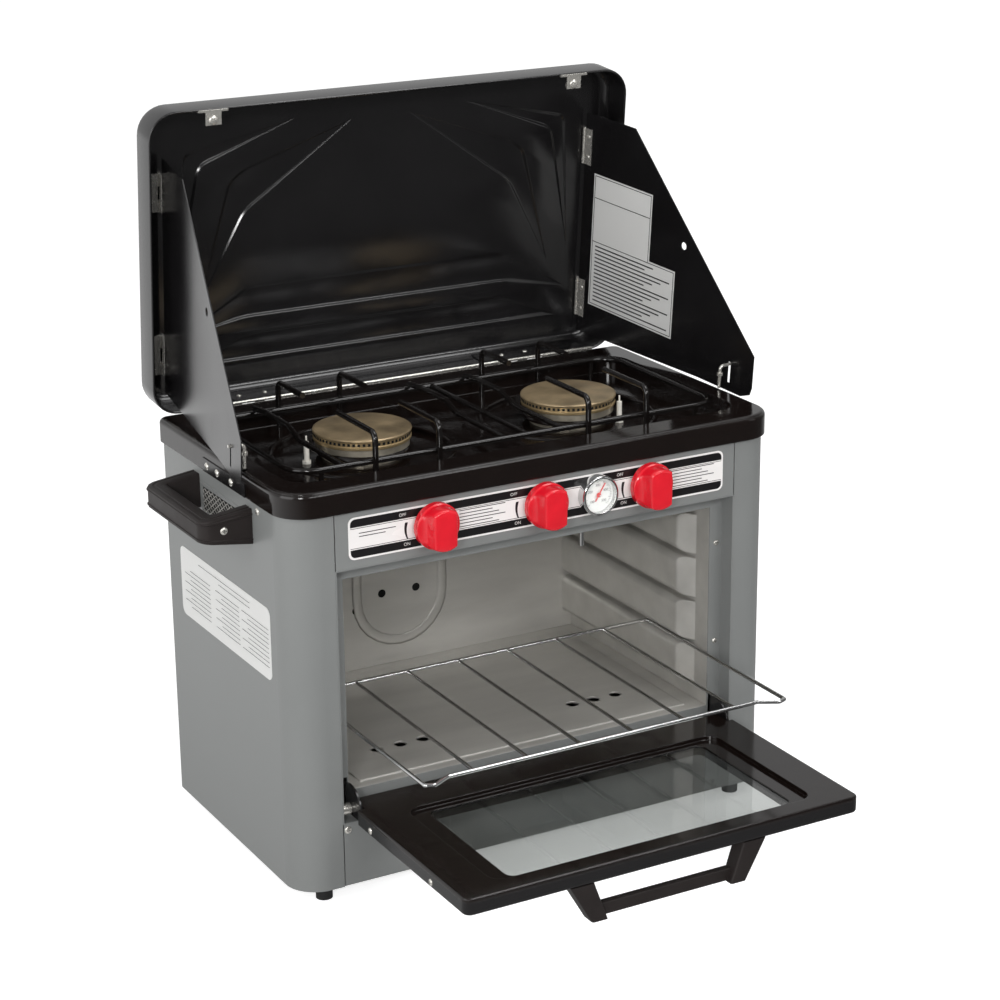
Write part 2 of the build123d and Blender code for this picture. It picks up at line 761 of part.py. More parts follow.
def oven_rack():
    """The chrome rack, pulled forward out of the oven."""
    r = rack_wire_r
    back = rack_front + rack_depth
    jog_x = rack_half - rack_jog[0]
    bar_y = rack_front + rack_jog[1]
    loop = FilletPolyline((-jog_x, bar_y, rack_z), (-rack_half + 8, rack_front, rack_z),
                          (-rack_half, rack_front + 3, rack_z), (-rack_half, back, rack_z),
                          (rack_half, back, rack_z), (rack_half, rack_front + 3, rack_z),
                          (rack_half - 8, rack_front, rack_z), (jog_x, bar_y, rack_z),
                          radius=3.0, close=True)
    section = Plane(origin=loop @ 0.5, z_dir=loop % 0.5) * Circle(r)
    rack = sweep(section, path=loop)
    for i in range(rack_wires):
        x = rack_pitch * (i - (rack_wires - 1) / 2)
        rack += cyl_y(r - 0.3, x, (bar_y, back), rack_z)
    return rack


# ---------------------------------------------------------------- door
def door_notch():
    """The space at the right rear corner of the door for the hinge arm and its pivot."""
    return block((arm_x - 1.5, door_half + 1), (pivot_y - arm_r - 1, door_rear + 1),
                 (door_z[0] - 1, door_z[1] + 1))


def window_cut(half, y, radius, z):
    """An upright cutter over a rectangle with round corners."""
    return plate(half, y, radius, radius, z)


def front_corners(solid):
    """The two upright edges at the front of a plain block."""
    return solid.edges().filter_by(Axis.Z).sort_by(Axis.Y)[:2]


def door_shell():
    """The outer skin of the door: a shallow tray with the window cut through."""
    t = sheet
    seam = door_z[1] - 4
    tray = both_sides(door_half, (door_front, door_rear), (door_z[0], seam))
    tray = fillet(front_corners(tray), door_corner_r)
    tray = fillet(tray.faces().sort_by(Axis.Z)[0].edges(), door_edge_r)
    hollow = both_sides(door_half - t, (door_front + t, door_rear - t), (door_z[0] + t, seam + 1))
    tray -= fillet(front_corners(hollow), door_corner_r - t)
    tray -= window_cut(window_half, window_y, window_r, (door_z[0] - 1, seam))
    notch = door_notch()
    return tray - notch - across(notch) + glass_rails()


def door_inner_frame():
    """The black enamelled inner frame, stepped down to the glass."""
    t = sheet
    seam = door_z[1] - 4
    frame = both_sides(door_half, (door_front, door_rear), (seam, door_z[1]))
    frame = fillet(front_corners(frame), door_corner_r)
    frame = fillet(frame.faces().sort_by(Axis.Z)[-1].edges(), door_rim_r)
    glass_top = door_z[1] - bezel_drop
    frame += window_cut(bezel_half + t, (bezel_y[0] - t, bezel_y[1] + t), bezel_r + t, (glass_top, seam))
    frame -= window_cut(bezel_half, bezel_y, bezel_r, (glass_top + t, door_z[1] + 1))
    frame -= window_cut(window_half, window_y, window_r, (glass_top - 1, door_z[1]))
    notch = door_notch()
    return frame - notch - across(notch)


def door_glass():
    """The window pane, held under the inner frame."""
    top = door_z[1] - bezel_drop
    grow = 8.0
    return both_sides(window_half + grow, (window_y[0] - grow + 2, window_y[1] + grow - 2),
                      (top - glass_t, top))


def glass_rails():
    """The two rails of the outer skin that carry the glass."""
    top = door_z[1] - bezel_drop - glass_t
    rails = []
    for side in (-1, 1):
        x = sorted((side * (window_half + 1), side * (window_half + 7)))
        rails.append(block(x, (window_y[0], window_y[1]), (door_z[0] + sheet, top)))
    return rails


def door_handle():
    """The handle under the open door: two leaning posts and a flat bar."""
    top = door_z[0]
    low = top - handle_drop
    bar_z = (low - handle_bar_h, low)
    bar = both_sides(handle_bar_half, handle_bar_y, bar_z)
    handle = fillet(bar.edges().filter_by(Axis.X), 2.0)
    foot_size = (handle_foot_w, handle_foot_y[1] - handle_foot_y[0])
    end_size = (handle_end_w, handle_end_y[1] - handle_end_y[0])
    for side in (-1, 1):
        foot_place = (side * (handle_foot_half - handle_foot_w / 2), sum(handle_foot_y) / 2, top)
        end_place = (side * (handle_end_half - handle_end_w / 2), sum(handle_end_y) / 2, bar_z[0])
        foot = Pos(*foot_place) * RectangleRounded(*foot_size, handle_post_r)
        end = Pos(*end_place) * RectangleRounded(*end_size, handle_post_r)
        handle += loft([foot.face(), end.face()])
    return handle


def door_hinge_arm():
    """The right hinge arm: a leaf inside the door and a quarter disc round the pivot."""
    x = (arm_x, arm_x + arm_t)
    wide = (arm_x - 1, arm_x + arm_t + 1)
    leaf = block(x, (arm_leaf_y, pivot_y), (pivot_z - arm_boss_r, door_z[1] - 5))
    disc = cyl_x(arm_r, x, pivot_y, pivot_z)
    keep = block(wide, (pivot_y - arm_r, pivot_y + arm_r), (pivot_z, pivot_z + arm_r))
    rear = block(wide, (pivot_y + arm_rear, pivot_y + arm_r), (pivot_z - 1, pivot_z + arm_r))
    arm = leaf + (disc & keep) + cyl_x(arm_boss_r, x, pivot_y, pivot_z) - rear
    return arm - cyl_x(pivot_r + run, wide, pivot_y, pivot_z)


def hinge_pivot():
    """The right pivot pin, from the cheek of the door frame through the arm."""
    pin = cyl_x(pivot_r, (arm_x - 1.0, recess_half - sheet), pivot_y, pivot_z)
    return pin + cyl_x(5.5, (arm_x + arm_t + touch, recess_half - sheet), pivot_y, pivot_z)


def door_screws():
    """The screw heads on both sides of the door."""
    heads = []
    for side in (-1, 1):
        for y in door_screw_y:
            heads.append(Pos(side * door_half, y, door_screw_z) * Rot(Y=side * 90) * rivet(3.4, 1.4))
    return heads


# ---------------------------------------------------------------- lid
def lid_shell():
    """The pressed lid: a shallow tray with rounded corners."""
    height = lid_h
    outline = Plane.XZ * RectangleRounded(2 * lid_half, height, lid_corner_r)
    tray = Pos(0, lid_depth, height / 2) * extrude(outline, lid_depth)
    tray = fillet(tray.faces().sort_by(Axis.Y)[-1].edges(), lid_back_r)
    t = sheet
    inside = Plane.XZ * RectangleRounded(2 * lid_half - 2 * t, height - 2 * t, lid_corner_r - t)
    core = Pos(0, lid_depth - t, height / 2) * extrude(inside, lid_depth + 1)
    core = fillet(core.faces().sort_by(Axis.Y)[-1].edges(), lid_back_r - t)
    return lid_place * (tray - core)


def knuckles(side, x_spans):
    """Rolled hinge knuckles round the lid's pin."""
    rolls = []
    for low, high in x_spans:
        x = sorted((side * low, side * high))
        roll = cyl_x(knuckle_r, x, lid_pin_y, lid_pin_z)
        rolls.append(roll - cyl_x(lid_pin_r + run, (x[0] - 1, x[1] + 1), lid_pin_y, lid_pin_z))
    return rolls


def outer_spans():
    """The two outer knuckles of a lid hinge."""
    inner = knuckle_w / 2 + touch
    outer = inner + knuckle_w
    return ((lid_hinge_x - outer, lid_hinge_x - inner), (lid_hinge_x + inner, lid_hinge_x + outer))


def deck_hinge_leaves():
    """The leaves on the back of the deck, each with two knuckles."""
    leaves = []
    for side in (-1, 1):
        x = sorted((side * (lid_hinge_x - leaf_w / 2), side * (lid_hinge_x + leaf_w / 2)))
        leaf = block(x, (deck_half_y, deck_half_y + sheet), (deck_z[0] + 1, lid_pin_z - knuckle_r))
        for roll, span in zip(knuckles(side, outer_spans()), outer_spans()):
            web_x = sorted((side * span[0], side * span[1]))
            web = block(web_x, (deck_half_y, deck_half_y + sheet), (lid_pin_z - knuckle_r - 1, lid_pin_z))
            web += block(web_x, (deck_half_y, lid_pin_y),
                         (lid_pin_z - knuckle_r, lid_pin_z - knuckle_r + sheet))
            leaf += web - cyl_x(knuckle_r - 0.2, (web_x[0] - 1, web_x[1] + 1), lid_pin_y, lid_pin_z)
            leaf += roll
        leaves.append(leaf)
    return leaves


def lid_hinge_leaves():
    """The leaves inside the lid's lower flange, each with its middle knuckle and pin."""
    solids = []
    half = knuckle_w / 2
    spans = ((lid_hinge_x - half, lid_hinge_x + half),)
    for side in (-1, 1):
        roll = knuckles(side, spans)[0]
        x = sorted((side * spans[0][0], side * spans[0][1]))
        wide = sorted((side * (lid_hinge_x - leaf_w / 2), side * (lid_hinge_x + leaf_w / 2)))
        flat = lid_place * block(wide, (1.5, lid_leaf_depth), (sheet + 0.02, 2 * sheet + 0.02))
        web = lid_place * block(x, (-2.0, 4), (sheet + 0.02, 2 * sheet + 0.02))
        stem = lid_place * block(x, (-2.0, -1.0), (-1.5, 2 * sheet))
        joined = flat + web + stem + roll
        joined -= cyl_x(lid_pin_r + run, (x[0] - 1, x[1] + 1), lid_pin_y, lid_pin_z)
        solids.append(joined)
        pin_x = sorted((side * (outer_spans()[0][0]), side * (outer_spans()[1][1])))
        solids.append(cyl_x(lid_pin_r, pin_x, lid_pin_y, lid_pin_z))
    return solids


def lid_catches():
    """The two spring catches on the top rim of the lid."""
    catches = []
    for side in (-1, 1):
        x = sorted((side * catch_x[0], side * catch_x[1]))
        tab_x = sorted((side * (catch_x[0] + 7), side * (catch_x[1] - 7)))
        saddle = block(x, (-1.6, catch_depth), (lid_h - 2 * sheet - 1.2, lid_h - sheet - 0.02))
        tab = block(tab_x, (-1.6, -0.6), (lid_h - catch_drop, lid_h - 2 * sheet))
        roller = cyl_x(3.0, (tab_x[0] + 2, tab_x[1] - 2), 2.1, lid_h - catch_roller_h)
        catches.append(lid_place * (saddle + tab + roller))
    return catches


# ---------------------------------------------------------------- windscreens
def windscreen():
    """The right windscreen, with its slot and its sight hole."""
    outline = make_face(Polyline(*[(-w, h) for w, h in screen_outline], close=True))
    plate_part = extrude(Plane.YZ * outline, screen_t / 2, both=True)
    slot = block((-2, 2), (-slot_w - slot_half, -slot_w + slot_half), slot_h)
    hole = cyl_x(4.0, (-2, 2), -sight_hole[0], sight_hole[1])
    return screen_place * (plate_part - slot - hole)


def screen_knuckle_spans(h):
    """Middle knuckle and the two outer ones between two heights."""
    third = (h[1] - h[0]) / 3
    middle = (h[0] + third, h[1] - third)
    return middle, ((h[0], middle[0] - touch), (middle[1] + touch, h[1]))


def screen_leaves():
    """The two leaves riveted to the right windscreen, each with its middle knuckle."""
    leaves = []
    x = (-screen_t / 2 - screen_leaf[2], -screen_t / 2)
    for h in screen_knuckle_h:
        middle, outer = screen_knuckle_spans(h)
        leaf = block(x, (-screen_leaf[0], -screen_leaf[1]), h)
        tongue = block(x, (-4, 0), middle)
        roll = cyl_z(screen_knuckle_r, 0, 0, middle)
        leaf = leaf + tongue + roll - cyl_z(screen_pin_r + run, 0, 0, (h[0] - 1, h[1] + 1))
        for along in (0.22, 0.78):
            z = h[0] + along * (h[1] - h[0])
            leaf += Pos(x[0], -8.5, z) * Rot(Y=-90) * rivet(2.4, 1.0)
        leaves.append(screen_place * leaf)
    return leaves


def lid_screen_leaves():
    """The right pair of leaves on the lid's back panel, with their knuckles and pins."""
    solids = []
    lid_wall = lid_depth - sheet - screen_hinge_d
    wall = (lid_wall - screen_leaf[2] - 0.02, lid_wall - 0.02)
    for h in screen_knuckle_h:
        middle, outer = screen_knuckle_spans(h)
        leaf = block((3.2, 15), wall, h)
        for span in outer:
            leaf += block((0, 4), wall, span)
            leaf += cyl_z(screen_knuckle_r, 0, 0, span) + block((-0.4, 0.4), (0, lid_wall - 0.02), span)
        leaf -= cyl_z(screen_pin_r + run, 0, 0, (h[0] - 1, h[1] + 1))
        place = lid_place * Pos(screen_hinge_x, screen_hinge_d, 0)
        solids.append(place * leaf)
        solids.append(place * cyl_z(screen_pin_r, 0, 0, h))
    return solids


def screen_label():
    """The blank sticker on the inner face of the right windscreen."""
    near, upper_far, lower_far = label_w
    low, step, high = label_h
    x = (-screen_t / 2 - label_t, -screen_t / 2)
    upper = block(x, (-upper_far, -near), (step, high))
    lower = block(x, (-lower_far, -near), (low, step))
    return screen_place * (upper + lower)


def screen_bolt():
    """The right wire bolt: its hook rides in the screen's slot, its foot meets the deck's hole."""
    points = ((-bolt_offset, -slot_w, bolt_foot_h), (-bolt_offset, -slot_w, bolt_hook_h),
              (3.0, -slot_w, bolt_hook_h))
    bolt = rod(points, bolt_r, 4.0)
    radius, low, high = bolt_collar
    collar = cyl_z(radius, -bolt_offset, -slot_w, (bolt_foot_h + low, bolt_foot_h + high))
    return screen_place * (bolt + collar)


def bolt_holes(top):
    """The top with a hole in the rim under each wire bolt."""
    span = (bolt_foot_h - bolt_travel - 1, bolt_foot_h + 4)
    path = screen_place * cyl_z(bolt_hole_r, -bolt_offset, -slot_w, span)
    return top - path - across(path)


# ---------------------------------------------------------------- write every node
def write_all():
    """Build and write each node."""
    os.makedirs("parts", exist_ok=True)
    save("side_panel_left", side_panel())
    save("side_panel_right", across(side_panel(right_handle_shift)))
    save("back_panel", back_panel())
    save("base_pan", base_pan())
    save("feet", *[foot(x, y) for x in (-foot_x, foot_x) for y in (-foot_y, foot_y)])
    save("control_fascia", control_fascia())
    save("control_overlay", control_overlay())
    save("lower_front_panel", lower_front_panel())
    save("door_frame", door_frame())
    save("frame_rivets", *frame_rivets())
    bracket_heads = bracket_screws()
    save("case_screws", *case_screws(), *handle_screws(), *bracket_heads,
         *[across(head) for head in bracket_heads])
    save("rating_label", rating_label())
    grille = vent_grille()
    save("side_vents", grille, Pos(0, right_handle_shift) * across(grille))
    left_handle = side_handle()
    save("side_handle_left", left_handle)
    save("side_handle_right", Pos(0, right_handle_shift) * across(left_handle))

    save("deck", bolt_holes(deck()))
    bracket = screen_bracket()
    save("screen_brackets", across(bracket), bracket)
    save("grate", grate())
    save("igniters", *[igniter(x + off[0], off[1])
                       for x, off in zip((-burner_x, burner_x), igniter_off)])
    for name, x in (("left", -burner_x), ("right", burner_x)):
        save(f"burner_body_{name}", burner_body(x))
        save(f"burner_cap_{name}", burner_cap(x))

    save("gas_manifold", gas_manifold())
    save("gas_inlet", gas_inlet())
    save("oven_burner", oven_burner())
    save("gas_valves", *[gas_valve(x) for x in control_places()])
    for name, x in zip(("left", "oven", "right"), control_places()):
        save(f"valve_stem_{name}", valve_stem(x))
        save(f"knob_{name}", knob(x))
    save("thermometer_case", meter_case())
    save("thermometer_dial", meter_dial())
    save("thermometer_glass", meter_glass())
    save("thermometer_needle", meter_needle())

    save("oven_liner", oven_liner())
    save("oven_floor", oven_floor())
    save("oven_rack", oven_rack())

    save("door_shell", door_shell())
    save("door_inner_frame", door_inner_frame())
    save("door_glass", door_glass())
    save("door_handle", door_handle())
    arm = door_hinge_arm()
    save("door_hinge_arms", across(arm), arm)
    save("door_screws", *door_screws())
    pivot = hinge_pivot()
    save("door_pivots", across(pivot), pivot)

    save("lid_shell", lid_shell())
    save("deck_hinge_leaves", *deck_hinge_leaves())
    save("lid_hinge_leaves", *lid_hinge_leaves())
    save("lid_catches", *lid_catches())
    leaves = lid_screen_leaves()
    save("lid_screen_leaves", *leaves, *[across(leaf) for leaf in leaves])
    screen = windscreen()
    save("windscreen_left", across(screen))
    save("windscreen_right", screen)
    leaves = screen_leaves()
    save("screen_leaves_left", *[across(leaf) for leaf in leaves])
    save("screen_leaves_right", *leaves)
    bolt = screen_bolt()
    save("screen_bolt_left", across(bolt))
    save("screen_bolt_right", bolt)
    save("screen_label", screen_label())


write_all()
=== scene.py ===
"""Looks of a folding camp oven, laid out as an add-on and run as a script."""

import math

import bmesh
import bpy
from mathutils import Matrix, Vector
from mathutils.geometry import tessellate_polygon


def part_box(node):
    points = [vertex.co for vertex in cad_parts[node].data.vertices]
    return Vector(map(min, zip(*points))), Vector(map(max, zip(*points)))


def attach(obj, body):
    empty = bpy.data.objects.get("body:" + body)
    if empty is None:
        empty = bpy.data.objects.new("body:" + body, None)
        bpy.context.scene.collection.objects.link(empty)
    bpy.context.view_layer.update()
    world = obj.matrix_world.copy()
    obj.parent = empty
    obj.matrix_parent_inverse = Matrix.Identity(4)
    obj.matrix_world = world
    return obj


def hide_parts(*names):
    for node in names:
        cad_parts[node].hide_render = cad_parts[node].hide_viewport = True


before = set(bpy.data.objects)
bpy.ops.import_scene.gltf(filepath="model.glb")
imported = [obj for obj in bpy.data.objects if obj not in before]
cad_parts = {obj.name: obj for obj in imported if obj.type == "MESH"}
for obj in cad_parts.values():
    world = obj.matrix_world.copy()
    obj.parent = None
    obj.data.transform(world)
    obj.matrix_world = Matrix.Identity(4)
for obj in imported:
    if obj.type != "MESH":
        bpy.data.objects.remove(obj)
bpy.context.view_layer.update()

bl_info = {
    "name": "Folding camp oven",
    "version": (1, 0, 0),
    "blender": (4, 5, 0),
    "location": "View3D > Sidebar > Camp oven",
    "description": "Dresses the packed model of a folding camp oven",
    "category": "Object",
}

MM = 0.001
FOOT = 14.0                  # the case stands this far above the floor, mm
CASE_X = 260.0               # outer face of the case's sides, mm from its middle
CASE_Y = 145.2               # face of the fascia, mm in front of its middle
LID_LEAN = math.radians(5.33)
LID_Y, LID_Z = 156.6, 385.4  # the lid's lower front edge in the case, mm
SCREEN_FACE = -0.71          # just above the windscreen's sticker, mm from the middle of the sheet
# the carry handle and vent of each side: way from the middle, how far back they are shifted, name
SIDES = ((-1, 0.0, "left"), (1, 33.0, "right"))
KNOBS = (("left", -115.0), ("oven", 0.0), ("right", 115.0))
FRONT, ALONG = (0.0, -1.0, 0.0), (1.0, 0.0, 0.0)   # facings: to the front, and along the fascia
BOX_SIDES = ((0, 1, 3, 2), (4, 5, 7, 6), (0, 1, 5, 4), (2, 3, 7, 6), (0, 2, 6, 4), (1, 3, 7, 5))
FINISHES = {}


# ---------------------------------------------------------------- small helpers
def linear(hexa):
    """An sRGB hex colour as linear red, green and blue."""
    parts = [int(hexa[i:i + 2], 16) / 255 for i in (0, 2, 4)]
    return tuple(c / 12.92 if c <= 0.04045 else ((c + 0.055) / 1.055) ** 2.4 for c in parts)


def put(tree, kind, inputs=(), **settings):
    """Adds a node with its settings and inputs: values, sockets, or nodes for their first output."""
    made = tree.nodes.new(kind)
    for name, value in settings.items():
        setattr(made, name, value)
    for name, value in dict(inputs).items():
        if isinstance(value, bpy.types.Node):
            value = value.outputs[0]
        if isinstance(value, bpy.types.NodeSocket):
            tree.links.new(value, made.inputs[name])
        else:
            made.inputs[name].default_value = value
    return made


def case_mm(x, y, z):
    """A point in metres from case millimetres, z up from the lower edge of the case."""
    return Vector((x * MM, y * MM, (z + FOOT) * MM))


def lid_mm(x, d, h):
    """A point in metres from lid millimetres: x across, d back from the rim, h up the lid."""
    y = LID_Y + d * math.cos(LID_LEAN) - h * math.sin(LID_LEAN)
    z = LID_Z + d * math.sin(LID_LEAN) + h * math.cos(LID_LEAN)
    return case_mm(x, y, z)


def place(name, mesh, body, sharp=32.0):
    """Links a mesh as an object on a body, smooth but for its sharp edges."""
    mesh.validate()
    mesh.polygons.foreach_set("use_smooth", [True] * len(mesh.polygons))
    mesh.set_sharp_from_angle(angle=math.radians(sharp))
    mesh.update()
    made = bpy.data.objects.new(name, mesh)
    bpy.context.scene.collection.objects.link(made)
    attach(made, body)
    return made


def piece(name, shape, paints, body, face_paint=None, sharp=32.0):
    """A closed piece on a body, from points in metres and faces, which are turned outwards."""
    points, faces = shape
    mesh = bpy.data.meshes.new(name)
    mesh.from_pydata([tuple(p) for p in points], [], faces)
    for paint in paints:
        mesh.materials.append(FINISHES[paint])
    if face_paint:
        mesh.polygons.foreach_set("material_index", face_paint)
    made = place(name, mesh, body, sharp)
    work = bmesh.new()
    work.from_mesh(mesh)
    bmesh.ops.recalc_face_normals(work, faces=work.faces)
    work.to_mesh(mesh)
    work.free()
    return made


def skin(rings, closed=False, caps=True):
    """Points and faces over closed rings of equal length; caps close the two ends."""
    count = len(rings[0])
    points = [p for ring in rings for p in ring]
    faces = []
    for i in range(len(rings) if closed else len(rings) - 1):
        a = i * count
        b = ((i + 1) % len(rings)) * count
        for k in range(count):
            n = (k + 1) % count
            faces.append((a + k, a + n, b + n, b + k))
    if caps and not closed:
        faces.append(tuple(reversed(range(count))))
        faces.append(tuple(range((len(rings) - 1) * count, len(rings) * count)))
    return points, faces


def blocks(at, spans):
    """Points and faces of boxes, each from its two ends in x, y and z, put in place by at."""
    points, faces = [], []
    for x, y, z in spans:
        faces += [tuple(len(points) + k for k in side) for side in BOX_SIDES]
        points += [at(a, b, c) for a in x for b in y for c in z]
    return points, faces


def arc(start, stop, steps):
    """Cosine and sine at even steps from one angle to another, in degrees."""
    angles = [math.radians(start + (stop - start) * i / steps) for i in range(steps + 1)]
    return [(math.cos(a), math.sin(a)) for a in angles]


def circle(steps):
    """Cosine and sine at even steps round a circle."""
    return arc(0, 360, steps)[:-1]


def rounded(half, low, high, radius, steps):
    """A closed outline of (x, h) round a rectangle with round corners."""
    centres = ((half - radius, low + radius, -90), (half - radius, high - radius, 0),
               (-half + radius, high - radius, 90), (-half + radius, low + radius, 180))
    return [(cx + radius * c, ch + radius * s)
            for cx, ch, start in centres for c, s in arc(start, start + 90, steps)]


# ---------------------------------------------------------------- finishes
def new_material(name):
    """A material with its tree of nodes, its shader and its object coordinates."""
    made = bpy.data.materials.new(name)
    made.use_nodes = True
    tree = made.node_tree
    return made, tree, tree.nodes["Principled BSDF"], put(tree, "ShaderNodeTexCoord").outputs["Object"]


def finish(name, colour, rough, metallic=0.0, clouds=(0.06, 60), grain=(1.5, 0.02), edge_mm=0.0,
           rough_drift=0.08, coat=0.0, specular=0.5, streak=None):
    """A material whose colour drifts in soft clouds over a fine surface grain.

    The clouds are the share of the drift and their size in mm, the grain its size and depth in mm.
    """
    made, tree, shader, pattern = new_material(name)
    (drift, cloud_mm), (grain_mm, depth_mm) = clouds, grain
    if streak:
        pattern = put(tree, "ShaderNodeMapping", {"Vector": pattern, "Scale": streak})
    cloud = put(tree, "ShaderNodeTexNoise", {
        "Vector": pattern, "Scale": 1 / (cloud_mm * MM), "Detail": 4.0})
    ramp = put(tree, "ShaderNodeValToRGB", {"Fac": cloud})
    base = linear(colour) if isinstance(colour, str) else colour
    low, high = ramp.color_ramp.elements
    low.position, high.position = 0.3, 0.7
    low.color = (*[c * (1 - drift) for c in base], 1.0)
    high.color = (*[min(1.0, c * (1 + drift)) for c in base], 1.0)
    wear = put(tree, "ShaderNodeMapRange", {
        "Value": cloud, "From Min": 0.3, "From Max": 0.7,
        "To Min": rough * (1 - rough_drift), "To Max": min(1.0, rough * (1 + rough_drift))})
    noise = put(tree, "ShaderNodeTexNoise", {
        "Vector": pattern, "Scale": 1 / (grain_mm * MM), "Detail": 2.0})
    bump = put(tree, "ShaderNodeBump", {"Height": noise, "Distance": depth_mm * MM, "Strength": 1.0})
    if edge_mm:
        soft = put(tree, "ShaderNodeBevel", {"Radius": edge_mm * MM}, samples=4)
        tree.links.new(soft.outputs[0], bump.inputs["Normal"])
    for node, socket in ((ramp, "Base Color"), (wear, "Roughness"), (bump, "Normal")):
        tree.links.new(node.outputs[0], shader.inputs[socket])
    for socket, value in (("Metallic", metallic), ("Coat Weight", coat), ("Coat Roughness", 0.06),
                          ("Specular IOR Level", specular)):
        shader.inputs[socket].default_value = value
    return made


def heat_tinted_cap():
    """Pressed brass cap: turned rings, and straw to bronze tints where the flame heats it."""
    made = finish("heat_tinted_brass_cap", "a89474", 0.34, metallic=0.55, clouds=(0.38, 26),
                  grain=(2.5, 0.03), edge_mm=0.6)
    tree = made.node_tree
    at = put(tree, "ShaderNodeTexCoord").outputs["Object"]
    split = put(tree, "ShaderNodeSeparateXYZ", {"Vector": at})
    side = put(tree, "ShaderNodeMath", {0: split.outputs["X"]}, operation="ABSOLUTE")
    # both caps stand 113.5 mm from the middle; rings 3 mm apart run round each
    off = put(tree, "ShaderNodeMath", {0: side, 1: 113.5 * MM}, operation="SUBTRACT")
    flat = put(tree, "ShaderNodeCombineXYZ", {"X": off, "Y": split.outputs["Y"]})
    rings = put(tree, "ShaderNodeTexWave", {"Vector": flat, "Scale": 1 / (3 * MM * 20), "Distortion": 0.4},
                wave_type="RINGS", rings_direction="Z")
    bump = next(n for n in tree.nodes if n.bl_idname == "ShaderNodeBump")
    turned = put(tree, "ShaderNodeBump", {
        "Height": rings.outputs["Fac"], "Distance": 0.03 * MM, "Normal": bump})
    tree.links.new(turned.outputs[0], tree.nodes["Principled BSDF"].inputs["Normal"])
    return made


def clear_glass(name, tint):
    """Clear pane: sharp reflections, a slight tint, and a few smears and specks."""
    made, tree, shader, at = new_material(name)
    for socket, value in (("Base Color", (*linear(tint), 1.0)), ("Transmission Weight", 1.0), ("IOR", 1.5)):
        shader.inputs[socket].default_value = value
    smear = put(tree, "ShaderNodeTexNoise", {"Vector": at, "Scale": 1 / (45 * MM), "Detail": 5.0})
    blur = put(tree, "ShaderNodeMapRange", {
        "Value": smear, "From Min": 0.5, "From Max": 0.75, "To Min": 0.01, "To Max": 0.09})
    tree.links.new(blur.outputs[0], shader.inputs["Roughness"])
    # light passes the pane, so that what is under it isn't left in a black shadow
    path = put(tree, "ShaderNodeLightPath")
    clear = put(tree, "ShaderNodeBsdfTransparent")
    both = put(tree, "ShaderNodeMixShader", {"Fac": path.outputs["Is Shadow Ray"], 1: shader, 2: clear})
    tree.links.new(both.outputs[0], tree.nodes["Material Output"].inputs["Surface"])
    return made


